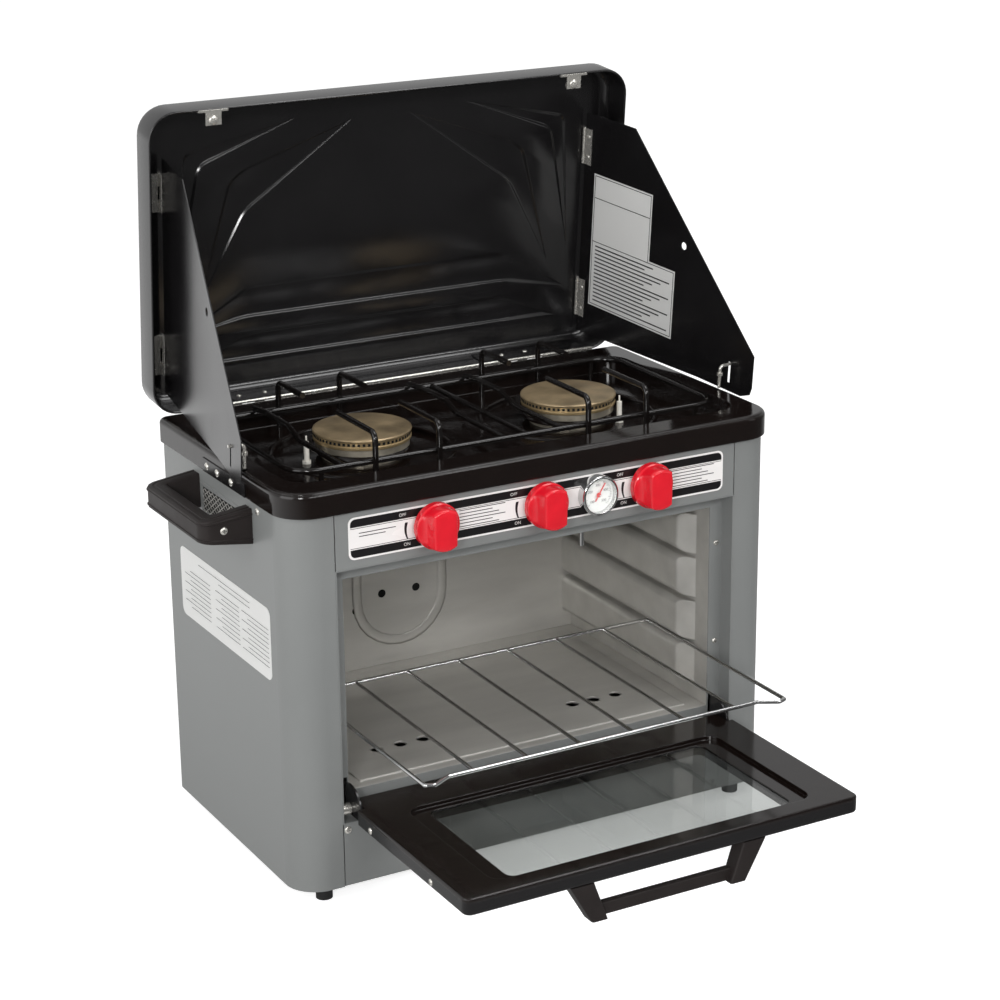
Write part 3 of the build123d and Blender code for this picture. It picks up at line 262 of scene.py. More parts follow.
def make_finishes(colours):
    """Every finish by name. The comment on each says what it gives the eye."""
    return {
        # steel with a grey powder coat: satin, with a fine orange peel drawn at 2.2 mm so that it shows
        "case_coat": finish(
            "grey_powder_coat", colours.case_grey, 0.42, clouds=(0.03, 90), grain=(2.2, 0.02),
            edge_mm=0.8),
        # vitreous enamel fired on steel: near-black brown, deep gloss, long soft ripples
        "enamel": finish(
            "black_vitreous_enamel", colours.enamel_black, 0.12, clouds=(0.12, 40), grain=(14, 0.1),
            edge_mm=1.4),
        # sprayed black paint on pressed sheet: satin, with a slight dust texture
        "black_paint": finish(
            "black_satin_paint", colours.paint_black, 0.22, clouds=(0.12, 70), grain=(1.8, 0.008),
            edge_mm=0.6),
        # baked gloss paint of the lid: thin bright lights on its creases, blurred mirror on its flats
        "lid_gloss": finish(
            "gloss_black_lid_paint", colours.paint_black, 0.21, clouds=(0.12, 70), grain=(9, 0.015),
            edge_mm=0.6, specular=0.75),
        # hot-dip aluminised sheet: bright grey, faint rolling lines along X
        "aluminised": finish(
            "aluminised_sheet", "c2c0bb", 0.36, metallic=0.5, clouds=(0.09, 26), grain=(2, 0.012),
            edge_mm=2.5, streak=(0.25, 1.0, 1.0), rough_drift=0.2),
        # nickel-chrome plate on wire and bezel: mirror with a trace of haze
        "chrome": finish(
            "chrome_plate", "cfcfcf", 0.12, metallic=1.0, clouds=(0.03, 20), grain=(3, 0.004),
            edge_mm=0.4),
        # moulded ABS: charcoal, a leather-like spark texture 1.6 mm across
        "plastic": finish(
            "moulded_black_abs", colours.handle_black, 0.5, clouds=(0.12, 25), grain=(1.6, 0.08),
            edge_mm=0.5, specular=0.25),
        # gloss moulded phenolic: saturated red with a clear skin
        "red": finish(
            "gloss_red_phenolic", colours.knob_red, 0.24, clouds=(0.06, 14), grain=(6, 0.03), edge_mm=0.5,
            coat=0.4),
        # printed metallised film: pale silver, slightly pearly
        "film": finish(
            "silver_printed_film", colours.film_silver, 0.28, clouds=(0.05, 60), grain=(4, 0.004),
            streak=(0.3, 1.0, 1.0)),
        # screen-printed ink: flat black with a slight sheen
        "ink": finish("black_print_ink", "141214", 0.4, clouds=(0.1, 12), grain=(2, 0.003)),
        # pale grey ink for the lettering on black
        "pale_ink": finish("pale_print_ink", "d9d7d4", 0.5, clouds=(0.04, 12), grain=(2, 0.003)),
        # coated paper sticker: near white, a little waxy
        "sticker": finish("coated_paper_sticker", "dfdfdd", 0.42, clouds=(0.02, 50), grain=(3, 0.008)),
        # sand-cast aluminium alloy: dull grey with a pebbly skin
        "cast": finish(
            "sand_cast_aluminium", "c3bbaa", 0.36, metallic=0.7, clouds=(0.15, 9), grain=(1.2, 0.05),
            edge_mm=0.5),
        # turned brass fittings: pale gold with fine tool marks
        "brass": finish(
            "turned_brass", "d3b98c", 0.3, metallic=0.75, clouds=(0.08, 10), grain=(1, 0.01), edge_mm=0.3),
        # glazed alumina: white and smooth
        "ceramic": finish(
            "glazed_alumina", "ece8df", 0.18, clouds=(0.03, 6), grain=(2, 0.004), edge_mm=0.3),
        # moulded nitrile rubber: matt black
        "rubber": finish("moulded_rubber", "171717", 0.8, clouds=(0.1, 6), grain=(0.9, 0.04), edge_mm=0.6),
        # enamelled steel rod: wet-looking black with small runs
        "wire": finish("black_enamelled_rod", "120f0e", 0.14, clouds=(0.1, 8), grain=(7, 0.08)),
        # red lacquer on the needle: even and slightly glossy
        "needle": finish("red_lacquer", "d23a3a", 0.35, clouds=(0.04, 5), grain=(1, 0.004)),
        # white lacquered dial plate: clean and smooth
        "dial": finish("white_lacquered_dial", "dcdcda", 0.38, clouds=(0.02, 8), grain=(1, 0.004)),
        # bright zinc plate on screws, rivets and strips: silvery with small cloudy spots
        "zinc": finish(
            "bright_zinc_plate", "dedbd4", 0.26, metallic=0.75, clouds=(0.08, 5), grain=(1.4, 0.012),
            edge_mm=0.4),
        # painted shade: a flat near-black that stands in for the unlit depth of holes, openings and
        # recesses
        "hole": finish("open_hole", "0a0a0a", 0.9, clouds=(0.1, 5)),
        "cap": heat_tinted_cap(),
        # tempered door pane, its grey tint chiefly painted shade that darkens the floor seen through it,
        # and the gauge's clear lens
        "glass": clear_glass("tempered_glass_shade_tint", "afb2b0"),
        "lens": clear_glass("gauge_lens", "f2f3f2"),
    }


# which finish each CAD node that stays in view gets
NODE_FINISH = {
    "case_coat": (
        "side_panel_left side_panel_right back_panel base_pan control_fascia lower_front_panel "
        "door_frame"),
    "enamel": "deck door_inner_frame",
    "black_paint": "lid_hinge_leaves door_shell windscreen_left windscreen_right door_hinge_arms",
    "plastic": "door_handle",
    "aluminised": "oven_liner oven_floor oven_burner",
    "chrome": "oven_rack thermometer_case",
    "film": "control_overlay",
    "sticker": "rating_label screen_label",
    "cast": "burner_body_left burner_body_right",
    "brass": "gas_inlet gas_valves gas_manifold",
    "ceramic": "igniters",
    "rubber": "feet",
    "wire": "grate",
    "needle": "thermometer_needle",
    "dial": "thermometer_dial",
    "glass": "door_glass",
    "lens": "thermometer_glass",
    "zinc": (
        "deck_hinge_leaves lid_catches lid_screen_leaves screen_leaves_left screen_leaves_right "
        "screen_bolt_left screen_bolt_right door_pivots valve_stem_left valve_stem_oven "
        "valve_stem_right"),
}


# ---------------------------------------------------------------- settings a user can change
def colour_setting(name, description, hexa):
    """A colour that the sidebar shows."""
    return bpy.props.FloatVectorProperty(name=name, description=description, subtype="COLOR", size=3,
                                         min=0.0, max=1.0, default=linear(hexa))


def length_setting(name, description, millimetres):
    """A length that the sidebar shows."""
    return bpy.props.FloatProperty(name=name, description=description, subtype="DISTANCE", unit="LENGTH",
                                   min=0.1 * MM, default=millimetres * MM)


class CampOvenColours(bpy.types.PropertyGroup):
    """Paint and plastic colours."""
    case_grey: colour_setting("Case grey", "Powder coat of the case", "7f8180")
    enamel_black: colour_setting("Enamel black", "Enamel of the deck and the door's inner frame", "140e0c")
    paint_black: colour_setting("Paint black", "Lid, windscreens and door skin", "141314")
    handle_black: colour_setting("Handle black", "Moulded carry handles and door handle", "272221")
    knob_red: colour_setting("Knob red", "Control knobs", "dc1426")
    film_silver: colour_setting("Film silver", "Printed film round the knobs", "f0edeb")


class CampOvenSizes(bpy.types.PropertyGroup):
    """Sizes of the pieces that dress the frame."""
    crease_rise: length_setting("Crease rise", "How far the lid's fields are pressed out", 2.0)
    crease_flank: length_setting("Crease flank", "Width of the sloped flank round a field", 4.0)
    vent_pitch: length_setting("Vent pitch", "Length of one opening of the vent's mesh", 4.4)
    port_count: bpy.props.IntProperty(
        name="Flame ports", description="Flame ports round each burner", min=12, default=60)
    camera_lens: bpy.props.FloatProperty(
        name="Camera lens", description="Focal length of the camera, mm", unit="CAMERA",
        min=10.0, default=91.71)


# ---------------------------------------------------------------- trees of nodes
def tree_with(name, sizes):
    """A geometry tree and its inputs: a base, and named sizes in metres."""
    tree = bpy.data.node_groups.new(name, "GeometryNodeTree")
    for way in ("INPUT", "OUTPUT"):
        tree.interface.new_socket("Geometry", in_out=way, socket_type="NodeSocketGeometry")
    for size in sizes:
        tree.interface.new_socket(size, in_out="INPUT", socket_type="NodeSocketFloat")
    return tree, put(tree, "NodeGroupInput").outputs


def ended(tree, geometry, paint=None):
    """The tree with its instances made real and, where it has one finish, painted."""
    last = put(tree, "GeometryNodeRealizeInstances", {"Geometry": geometry})
    if paint:
        last = put(tree, "GeometryNodeSetMaterial", {"Geometry": last, "Material": FINISHES[paint]})
    put(tree, "NodeGroupOutput", {"Geometry": last})
    return tree


def on_points(tree, points, shape, axis):
    """The shape on each point, with one axis turned to the point's facing."""
    way = put(tree, "GeometryNodeInputNamedAttribute", {"Name": "facing"}, data_type="FLOAT_VECTOR")
    turn = put(tree, "FunctionNodeAlignRotationToVector", {"Vector": way.outputs["Attribute"]}, axis=axis)
    return put(tree, "GeometryNodeInstanceOnPoints", {
        "Points": points, "Instance": shape, "Rotation": turn})


def head_tree(name, recess):
    """Zinc pan heads with a crossed recess, one on each point."""
    tree, given = tree_with(name, ("radius", "height"))
    dome = put(tree, "GeometryNodeMeshUVSphere", {"Segments": 20, "Rings": 10, "Radius": 1.0})
    size = put(tree, "ShaderNodeCombineXYZ", {
        "X": given["radius"], "Y": given["radius"], "Z": given["height"]})
    head = put(tree, "GeometryNodeTransform", {"Geometry": dome, "Scale": size})
    shapes = [(head, "zinc")]
    # each bar of the cross is a radius long and a fifth of it wide, and stops just under the dome's top
    for share in ((1.0, 0.2, 1.96), (0.2, 1.0, 1.96)):
        bar_size = put(tree, "ShaderNodeVectorMath", {0: size, 1: share}, operation="MULTIPLY")
        shapes.append((put(tree, "GeometryNodeMeshCube", {"Size": bar_size}), recess))
    both = put(tree, "GeometryNodeJoinGeometry")
    for shape, paint in shapes:
        painted = put(tree, "GeometryNodeSetMaterial", {"Geometry": shape, "Material": FINISHES[paint]})
        tree.links.new(painted.outputs[0], both.inputs[0])
    return ended(tree, on_points(tree, given["Geometry"], both, "Z"))


def tick_tree(name, paint):
    """A small block on each point, its length along the point's facing."""
    tree, given = tree_with(name, ("length", "width", "thickness"))
    size = put(tree, "ShaderNodeCombineXYZ", {
        "X": given["length"], "Y": given["width"], "Z": given["thickness"]})
    bar = put(tree, "GeometryNodeMeshCube", {"Size": size})
    return ended(tree, on_points(tree, given["Geometry"], bar, "X"), paint)


def bead_tree(name, paint):
    """A low round bead along a curve."""
    tree, given = tree_with(name, ("width", "rise"))
    ring = put(tree, "GeometryNodeCurvePrimitiveCircle", {"Resolution": 12, "Radius": 0.5})
    flat = put(tree, "ShaderNodeCombineXYZ", {"X": given["width"], "Y": given["rise"], "Z": 1.0})
    section = put(tree, "GeometryNodeTransform", {"Geometry": ring, "Scale": flat})
    upright = put(tree, "GeometryNodeSetCurveNormal", {"Curve": given["Geometry"]}, mode="Z_UP")
    tube = put(tree, "GeometryNodeCurveToMesh", {
        "Curve": upright, "Profile Curve": section, "Fill Caps": True})
    return ended(tree, tube, paint)


def plain(name, holder):
    """The plain mesh of what an object's modifier or text makes; the object goes."""
    bpy.context.scene.collection.objects.link(holder)
    bpy.context.view_layer.update()
    seen = holder.evaluated_get(bpy.context.evaluated_depsgraph_get())
    mesh = bpy.data.meshes.new_from_object(seen)
    mesh.name = name
    bpy.data.objects.remove(holder)
    if not len(mesh.polygons):
        raise RuntimeError(f"{name} has no faces")
    return mesh


def grown(name, base, tree, sizes):
    """The plain mesh that a tree grows on a base; sizes in mm."""
    holder = bpy.data.objects.new(name, base)
    modifier = holder.modifiers.new(tree.name, "NODES")
    modifier.node_group = tree
    for item in tree.interface.items_tree:
        if item.name in sizes:
            modifier[item.identifier] = sizes[item.name] * MM
    return plain(name, holder)


def strewn(name, places, tree, body, slot, **sizes):
    """A piece that a tree grows on points in metres, each with its facing; sizes in mm."""
    base = bpy.data.meshes.new("base")
    base.from_pydata([tuple(p) for p, _ in places], [], [])
    facing = base.attributes.new("facing", "FLOAT_VECTOR", "POINT")
    facing.data.foreach_set("vector", [c for _, way in places for c in way])
    return place(name, grown(name, base, tree, sizes), body)


def lettering(name, text, high, half_thick, spot, paint):
    """Upright letters on the case, sizes in mm, centred on a spot and facing the front."""
    words = bpy.data.curves.new(name, "FONT")
    words.body, words.size, words.extrude = text, high * MM, half_thick * MM
    words.align_x = words.align_y = "CENTER"
    mesh = plain(name, bpy.data.objects.new(name, words))
    mesh.transform(Matrix.Translation(spot) @ Matrix.Rotation(math.pi / 2, 4, "X"))
    mesh.materials.clear()
    mesh.materials.append(FINISHES[paint])
    return place(name, mesh, "case")


# ---------------------------------------------------------------- operators
def white_light(tree, kind, strength):
    """A white background or emission of a given strength."""
    return put(tree, kind, {"Color": (1, 1, 1, 1), "Strength": strength})


def ray_mix(tree, seen, mirrored, rest):
    """What camera and transmission rays see, what gloss sees, and what all other rays see."""
    path = put(tree, "ShaderNodeLightPath").outputs
    gloss = put(tree, "ShaderNodeMixShader", {"Fac": path["Is Glossy Ray"], 1: rest, 2: mirrored})
    clear = put(tree, "ShaderNodeMath", {0: path["Is Camera Ray"], 1: path["Is Transmission Ray"]},
                operation="MAXIMUM")
    return put(tree, "ShaderNodeMixShader", {"Fac": clear, 1: gloss, 2: seen})


def lit_side(tree, source, dark, bright):
    """A strength that grows from the front right to the rear left."""
    at = put(tree, "ShaderNodeTexCoord").outputs[source]
    along = put(tree, "ShaderNodeVectorMath", {0: at, 1: (-0.49, 0.87, 0.0)}, operation="DOT_PRODUCT")
    return put(tree, "ShaderNodeMapRange", {
        "Value": along.outputs["Value"], "From Min": -0.9, "From Max": 0.9,
        "To Min": dark, "To Max": bright})


class CAMPOVEN_OT_stage(bpy.types.Operator):
    """Floor, white surroundings, soft lamps and the camera"""
    bl_idname = "camp_oven.stage"
    bl_label = "Stage"

    def execute(self, context):
        scene = bpy.context.scene
        scene.view_settings.view_transform = "Standard"
        world = bpy.data.worlds.new("studio")
        scene.world = world
        world.use_nodes = True
        tree = world.node_tree
        tree.nodes.clear()
        # gloss sees a room that is white behind and to the left, and dark in front and to the right
        room = white_light(tree, "ShaderNodeBackground", lit_side(tree, "Generated", 0.08, 0.8))
        put(tree, "ShaderNodeOutputWorld", {"Surface": ray_mix(
            tree, white_light(tree, "ShaderNodeBackground", 1.0), room,
            white_light(tree, "ShaderNodeBackground", 0.45))})

        # pale floor: white to the camera, and it keeps a soft shadow
        paper = bpy.data.materials.new("studio_paper")
        paper.use_nodes = True
        tree = paper.node_tree
        tree.nodes.clear()
        matt = put(tree, "ShaderNodeBsdfDiffuse", {"Color": (0.6, 0.6, 0.6, 1)})
        lift = put(tree, "ShaderNodeAddShader", {0: matt, 1: white_light(tree, "ShaderNodeEmission", 0.78)})
        dull = white_light(tree, "ShaderNodeEmission", lit_side(tree, "Object", 0.1, 1.05))
        put(tree, "ShaderNodeOutputMaterial", {"Surface": ray_mix(tree, lift, dull, matt)})
        mesh = bpy.data.meshes.new("studio_floor")
        reach = 12.0
        mesh.from_pydata([(-reach, -reach, 0), (reach, -reach, 0), (reach, reach, 0), (-reach, reach, 0)],
                         [], [(0, 1, 2, 3)])
        mesh.materials.append(paper)
        floor = bpy.data.objects.new("studio_floor", mesh)
        scene.collection.objects.link(floor)

        # name, place, what it is turned to, width and height in metres, power in watts
        lamps = (("left_softbox", (-2.6, -0.5, 1.1), (0.0, 0.0, 0.35), 1.9, 1.9, 22.0),
                 ("front_key", (-2.0, -2.5, 1.35), (0.0, 0.0, 0.3), 0.55, 0.55, 34.0),
                 ("front_bar", (0.48, -2.66, 1.95), (0.0, 0.0, 0.4), 2.4, 0.3, 28.0),
                 ("right_fill", (2.4, -2.2, 1.2), (0.0, 0.0, 0.3), 1.0, 1.0, 3.0),
                 ("top_softbox", (0.9, -0.5, 2.6), (0.0, 0.0, 0.4), 1.2, 1.2, 20.0))
        for name, spot, target, wide, high, power in lamps:
            lamp = bpy.data.lights.new(name, "AREA")
            lamp.shape = "RECTANGLE"
            lamp.size, lamp.size_y, lamp.energy = wide, high, power
            holder = bpy.data.objects.new(name, lamp)
            holder.location = spot
            holder.rotation_mode = "QUATERNION"
            holder.rotation_quaternion = (Vector(target) - Vector(spot)).to_track_quat("-Z", "Y")
            holder.visible_camera = False
            scene.collection.objects.link(holder)

        azimuth, elevation, roll = (math.radians(a) for a in (29.088, 18.368, -0.575))
        back = Vector((-math.sin(azimuth) * math.cos(elevation), -math.cos(azimuth) * math.cos(elevation),
                       math.sin(elevation)))
        right = Vector((math.cos(azimuth), -math.sin(azimuth), 0.0))
        up = back.cross(right)
        across = math.cos(roll) * right + math.sin(roll) * up
        upright = -math.sin(roll) * right + math.cos(roll) * up
        eye = bpy.data.cameras.new("camera")
        eye.lens = context.scene.camp_oven_sizes.camera_lens
        eye.sensor_width = 36.0
        eye.clip_end = 100.0
        camera = bpy.data.objects.new("camera", eye)
        stand = Matrix.Translation((-1.1244, -2.0849, 1.1016))
        camera.matrix_world = stand @ Matrix((across, upright, back)).transposed().to_4x4()
        scene.collection.objects.link(camera)
        scene.camera = camera
        return {"FINISHED"}


class CAMPOVEN_OT_frame_finishes(bpy.types.Operator):
    """Gives every CAD node that stays in view its finish"""
    bl_idname = "camp_oven.frame_finishes"
    bl_label = "Frame finishes"

    def execute(self, context):
        FINISHES.clear()
        FINISHES.update(make_finishes(context.scene.camp_oven_colours))
        for name, nodes in NODE_FINISH.items():
            for node in nodes.split():
                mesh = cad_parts[node].data
                mesh.materials.clear()
                mesh.materials.append(FINISHES[name])
                mesh.polygons.foreach_set("material_index", [0] * len(mesh.polygons))
        return {"FINISHED"}


# outlines of the lid's pressed fields, (x, h) in mm: two bent rays on each side, two level steps
RAY_FIELDS = (
    ((92, 274), (213, 249), (221, 106), (205, 180), (195, 234)),
    ((30, 268), (150, 228), (166, 216), (198, 92), (147, 184)),
)
LEVEL_FIELDS = (
    ((-221, 62), (-144, 108.5), (144, 108.5), (221, 62), (148, 75), (-148, 75)),
    ((-223, 26), (-142, 60.5), (142, 60.5), (223, 26), (205, 31), (-205, 31)),
)


def eased(outline):
    """The outline with its blunt corners rounded; narrow tips stay."""
    radius, most, narrow = 9.0, 0.4, math.radians(75)
    ring = [Vector(point) for point in outline]
    out = []
    for i, here in enumerate(ring):
        to_before, to_after = ring[i - 1] - here, ring[(i + 1) % len(ring)] - here
        if to_before.angle(to_after) < narrow:
            out.append(here)
            continue
        cut = min(radius, to_before.length * most, to_after.length * most)
        start = here + to_before.normalized() * cut
        stop = here + to_after.normalized() * cut
        for share in (0.0, 0.25, 0.5, 0.75, 1.0):
            out.append(start.lerp(here, share).lerp(here.lerp(stop, share), share))
    return out


def inward_steps(ring):
    """For each corner of a ring: the step that insets it by one, and how far its flank may rise."""
    least_lean, longest = 0.05, 2.4
    steps = []
    for i, here in enumerate(ring):
        a = (here - ring[i - 1]).normalized()
        b = (ring[(i + 1) % len(ring)] - here).normalized()
        square = Vector((-a.y, a.x))
        inward = (square + Vector((-b.y, b.x))).normalized()
        lean = max(least_lean, inward.dot(square))
        reach = min(1.0 / lean, longest)
        steps.append((inward * reach, min(1.0, reach * lean)))
    return steps


def pressed_panel(points, faces, edge, fields, level, rise, flank):
    """Closes an edge of the lid with a flat back that has pressed fields, each with soft flanks."""
    def cover(loops):
        flat = [i for loop in loops for i in loop]
        outlines = [[Vector((points[i][0], points[i][2], 0.0)) for i in loop] for loop in loops]
        faces.extend(tuple(flat[k] for k in triangle) for triangle in tessellate_polygon(outlines))

    flanks = []
    for ring in fields:
        area = sum(a.cross(b) for a, b in zip(ring, ring[1:] + ring[:1]))
        ring = ring if area > 0 else ring[::-1]
        steps = inward_steps(ring)
        rows = []
        for share in (0.0, 0.17, 0.33, 0.5, 0.67, 0.83, 1.0):
            soft = share * share * (3 - 2 * share)
            start = len(points)
            for here, (way, full) in zip(ring, steps):
                spot = here + way * (flank * share)
                points.append((spot.x, level + rise * soft * full, spot.y))
            rows.append(list(range(start, len(points))))
        flanks.append(rows)
    cover([list(edge)] + [rows[0] for rows in flanks])
    for rows in flanks:
        total = len(rows[0])
        for low, high in zip(rows, rows[1:]):
            for k in range(total):
                n = (k + 1) % total
                faces.append((low[k], low[n], high[n], high[k]))
        cover([rows[-1]])


class CAMPOVEN_OT_lid(bpy.types.Operator):
    """The lid's pressed shell with its stiffening fields and a rolled rim"""
    bl_idname = "camp_oven.lid"
    bl_label = "Lid shell"

    def execute(self, context):
        sizes = context.scene.camp_oven_sizes
        rise, flank = sizes.crease_rise / MM, sizes.crease_flank / MM
        half, height, depth, corner, back_r, wall = 262.0, 301.8, 39.0, 28.0, 11.0, 1.0
        inner_r, least_corner, corner_steps = back_r - wall, 4.0, 9
        # inset from the outline and depth from the rim: outside wall, rolled rim, inside wall
        outside = [(back_r * (1 - s), depth - back_r * (1 - c)) for c, s in arc(0, 90, 6)]
        lip = [(0.0, 1.9), (0.12, 0.9), (0.6, 0.25), (1.3, 0.0), (2.0, 0.25), (2.5, 0.9), (2.5, 1.7),
               (1.9, 2.3), (wall, 2.6)]
        inside = [(wall + inner_r * (1 - s), depth - wall - inner_r * (1 - c)) for c, s in arc(90, 0, 6)]
        rings = []
        for inset, d in outside + lip + inside:
            radius = max(corner - inset, least_corner)
            outline = rounded(half - inset, inset, height - inset, radius, corner_steps)
            rings.append([(x, d, h) for x, h in outline])
        points, faces = skin(rings, caps=False)
        count = len(rings[0])
        fields = [eased([(side * x, h) for x, h in ray]) for ray in RAY_FIELDS for side in (-1, 1)]
        fields += [eased(ring) for ring in LEVEL_FIELDS]
        pressed_panel(points, faces, range(count), fields, depth, rise, flank)
        last = range(count * (len(rings) - 1), count * len(rings))
        pressed_panel(points, faces, last, fields, depth - wall, rise, flank)
        shell = piece("lid_pressing", ([lid_mm(*p) for p in points], faces), ["lid_gloss"],
                      "lid", sharp=24.0)
        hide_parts("lid_shell")
        return {"FINISHED"}


class CAMPOVEN_OT_knobs(bpy.types.Operator):
    """Red knobs: a round skirt with a broad grip whose sides are cut flat"""
    bl_idname = "camp_oven.knobs"
    bl_label = "Knobs"

    def execute(self, context):
        # depth from the back, radius, half width of the grip
        stations = ((0.0, 21.5, 30.0), (0.6, 22.0, 30.0), (6.9, 22.0, 30.0), (7.7, 21.4, 30.0),
                    (8.2, 20.8, 19.0), (9.2, 20.5, 16.6), (11.5, 20.4, 14.6), (15.0, 20.2, 13.0),
                    (19.0, 20.0, 11.9), (21.2, 19.7, 11.4), (22.1, 19.1, 10.9), (22.7, 18.2, 10.1),
                    (23.0, 17.0, 9.0))
        bulge = 0.06             # the cut sides keep this share of the round

        def cut(across, half):
            over = abs(across) - half
            return math.copysign(half + bulge * over, across) if over > 0 else across

        for name, x in KNOBS:
            node = f"knob_{name}"
            low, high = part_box(node)
            back = high.y / MM
            centre_z = (low.z + high.z) / 2 / MM - FOOT
            rings = [[case_mm(x + cut(radius * c, half), back - depth, centre_z + radius * s)
                      for c, s in circle(72)] for depth, radius, half in stations]
            made = piece(f"knob_grip_{name}", skin(rings), ["red"], node, sharp=28.0)
            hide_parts(node)
        return {"FINISHED"}


class CAMPOVEN_OT_handles(bpy.types.Operator):
    """Moulded carry handles with round corners and two raised lines round them"""
    bl_idname = "camp_oven.handles"
    bl_label = "Carry handles"

    def execute(self, context):
        reach, thick = 311.0, 17.0
        outer_r, inner_r, steps = 12.0, 4.0, 6
        # across the wall: depth from the outer face in mm, share of the height
        section = [(2.0, 0.0), (1.1, 0.02), (0.9, 0.05), (0.9, 0.10), (0.0, 0.125), (0.0, 0.165),
                   (0.9, 0.19), (0.9, 0.30), (0.9, 0.70), (0.9, 0.81), (0.0, 0.835), (0.0, 0.875),
                   (0.9, 0.90), (0.9, 0.95), (1.1, 0.98), (2.0, 1.0), (5.0, 1.0), (5.4, 0.985),
                   (7.4, 0.985), (7.8, 1.0), (15.4, 1.0), (16.6, 0.98), (17.0, 0.94), (17.0, 0.06),
                   (16.6, 0.02), (15.4, 0.0)]
        for side, shift, name in SIDES:
            front, rear = -71.0 + shift, 68.0 + shift
            outer, inner = [(CASE_X, front)], [(CASE_X, front + thick)]
            for cy, start, way in ((front, -90, 1), (rear, 0, -1)):
                for c, s in arc(start, start + 90, steps):
                    outer.append((reach - outer_r + outer_r * c, cy + way * outer_r + outer_r * s))
                    inner.append((reach - thick - inner_r + inner_r * c,
                                  cy + way * (thick + inner_r) + inner_r * s))
            outer.append((CASE_X, rear))
            inner.append((CASE_X, rear - thick))
            rings = []
            for (ox, oy), (ix, iy) in zip(outer, inner):
                ring = []
                for deep, share in section:
                    x, y = ox + (ix - ox) * deep / thick, oy + (iy - oy) * deep / thick
                    # the handle tapers from the case to its grip
                    out = (x - CASE_X) / (reach - CASE_X)
                    low, high = 323.5 + 7.5 * out, 357.5 - 6.5 * out
                    ring.append(case_mm(side * x, y, low + (high - low) * share))
                rings.append(ring)
            made = piece(f"carry_handle_{name}", skin(rings), ["plastic"], "case",
                         sharp=30.0)
            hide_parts(f"side_handle_{name}")
        return {"FINISHED"}


class CAMPOVEN_OT_vents(bpy.types.Operator):
    """Expanded mesh in the opening behind each carry handle"""
    bl_idname = "camp_oven.vents"
    bl_label = "Side vents"

    def execute(self, context):
        pitch, row = context.scene.camp_oven_sizes.vent_pitch / MM, 2.9
        tree = tick_tree("vent_mesh", "aluminised")
        low_z, high_z = 323.0, 348.0
        for side, shift, name in SIDES:
            low_y, high_y = -36.0 + shift, 46.0 + shift

            def at(x, y, z):
                return case_mm(side * x, y, z)

            places = []
            for r in range(int((high_z - low_z) / row)):
                for c in range(int((high_y - low_y) / pitch)):
                    lean = row if (r + c) % 2 else -row
                    places.append((at(CASE_X + 0.1, low_y + pitch * (c + 0.5), low_z + row * (r + 0.5)),
                                   (0.0, pitch, lean)))
            made = strewn(f"vent_mesh_{name}", places, tree, "case", "grey_paint",
                          length=math.hypot(pitch, row), width=0.8, thickness=1.0)
            # a near-black sheet just inside the wall behind the mesh: painted shade of the opening
            depth = blocks(at, [((CASE_X - 0.9, CASE_X - 0.5), (low_y, high_y), (low_z, high_z))])
            piece(f"vent_painted_shade_{name}", depth, ["hole"], "case")
            rim = [[at(CASE_X + out, y, z) for y, z in (
                (low_y - grow, low_z - grow), (high_y + grow, low_z - grow),
                (high_y + grow, high_z + grow), (low_y - grow, high_z + grow))]
                for grow, out in ((0.0, -0.4), (0.0, 0.45), (3.0, 0.45), (3.4, 0.05))]
            piece(f"vent_border_{name}", skin(rim, caps=False), ["case_coat"], "case")
            if name == "left":
                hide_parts("side_vents")
        return {"FINISHED"}


class CAMPOVEN_OT_fasteners(bpy.types.Operator):
    """Screws and rivets of the case, its door frame and the door"""
    bl_idname = "camp_oven.fasteners"
    bl_label = "Screws and rivets"

    def execute(self, context):
        # the crossed recess of these heads takes the near-black hole finish: painted shade in the recess
        screws = head_tree("pan_head", "hole")
        strap_x, grip_x, panel_x, frame_x, door_x = 263.3, 288.0, 209.4, 207.0, 207.3
        case_places, frame_places, door_places = [], [], []
        for side, shift, _ in SIDES:
            out = (side, 0.0, 0.0)
            # on the side: one ahead of the handle and one at the rear, then three on the strap
            for y, z in ((-82.0 + shift, 358.0), (123.0, 317.0)):
                case_places.append((case_mm(side * CASE_X, y, z), out))
            for y in (-32.0, 0.0, 24.0):
                case_places.append((case_mm(side * strap_x, y, 372.5), out))
            case_places.append((case_mm(side * grip_x, -70.1 + shift, 341.0), FRONT))
            case_places.append((case_mm(side * panel_x, -CASE_Y, 57.0), FRONT))
            for z in (155.3, 258.4):
                frame_places.append((case_mm(side * frame_x, -127.0, z), FRONT))
            for y in (-305.3, -187.4):
                door_places.append((case_mm(side * door_x, y, 73.0), out))
        for name, node, places, radius, height, body in (
                ("case_screw_heads", "case_screws", case_places, 3.7, 1.6, "case"),
                ("frame_rivet_heads", "frame_rivets", frame_places, 3.0, 1.6, "case"),
                ("door_screw_heads", "door_screws", door_places, 3.3, 1.4, "door")):
            made = strewn(name, places, screws, body, "zinc", radius=radius, height=height)
            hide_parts(node)
        return {"FINISHED"}


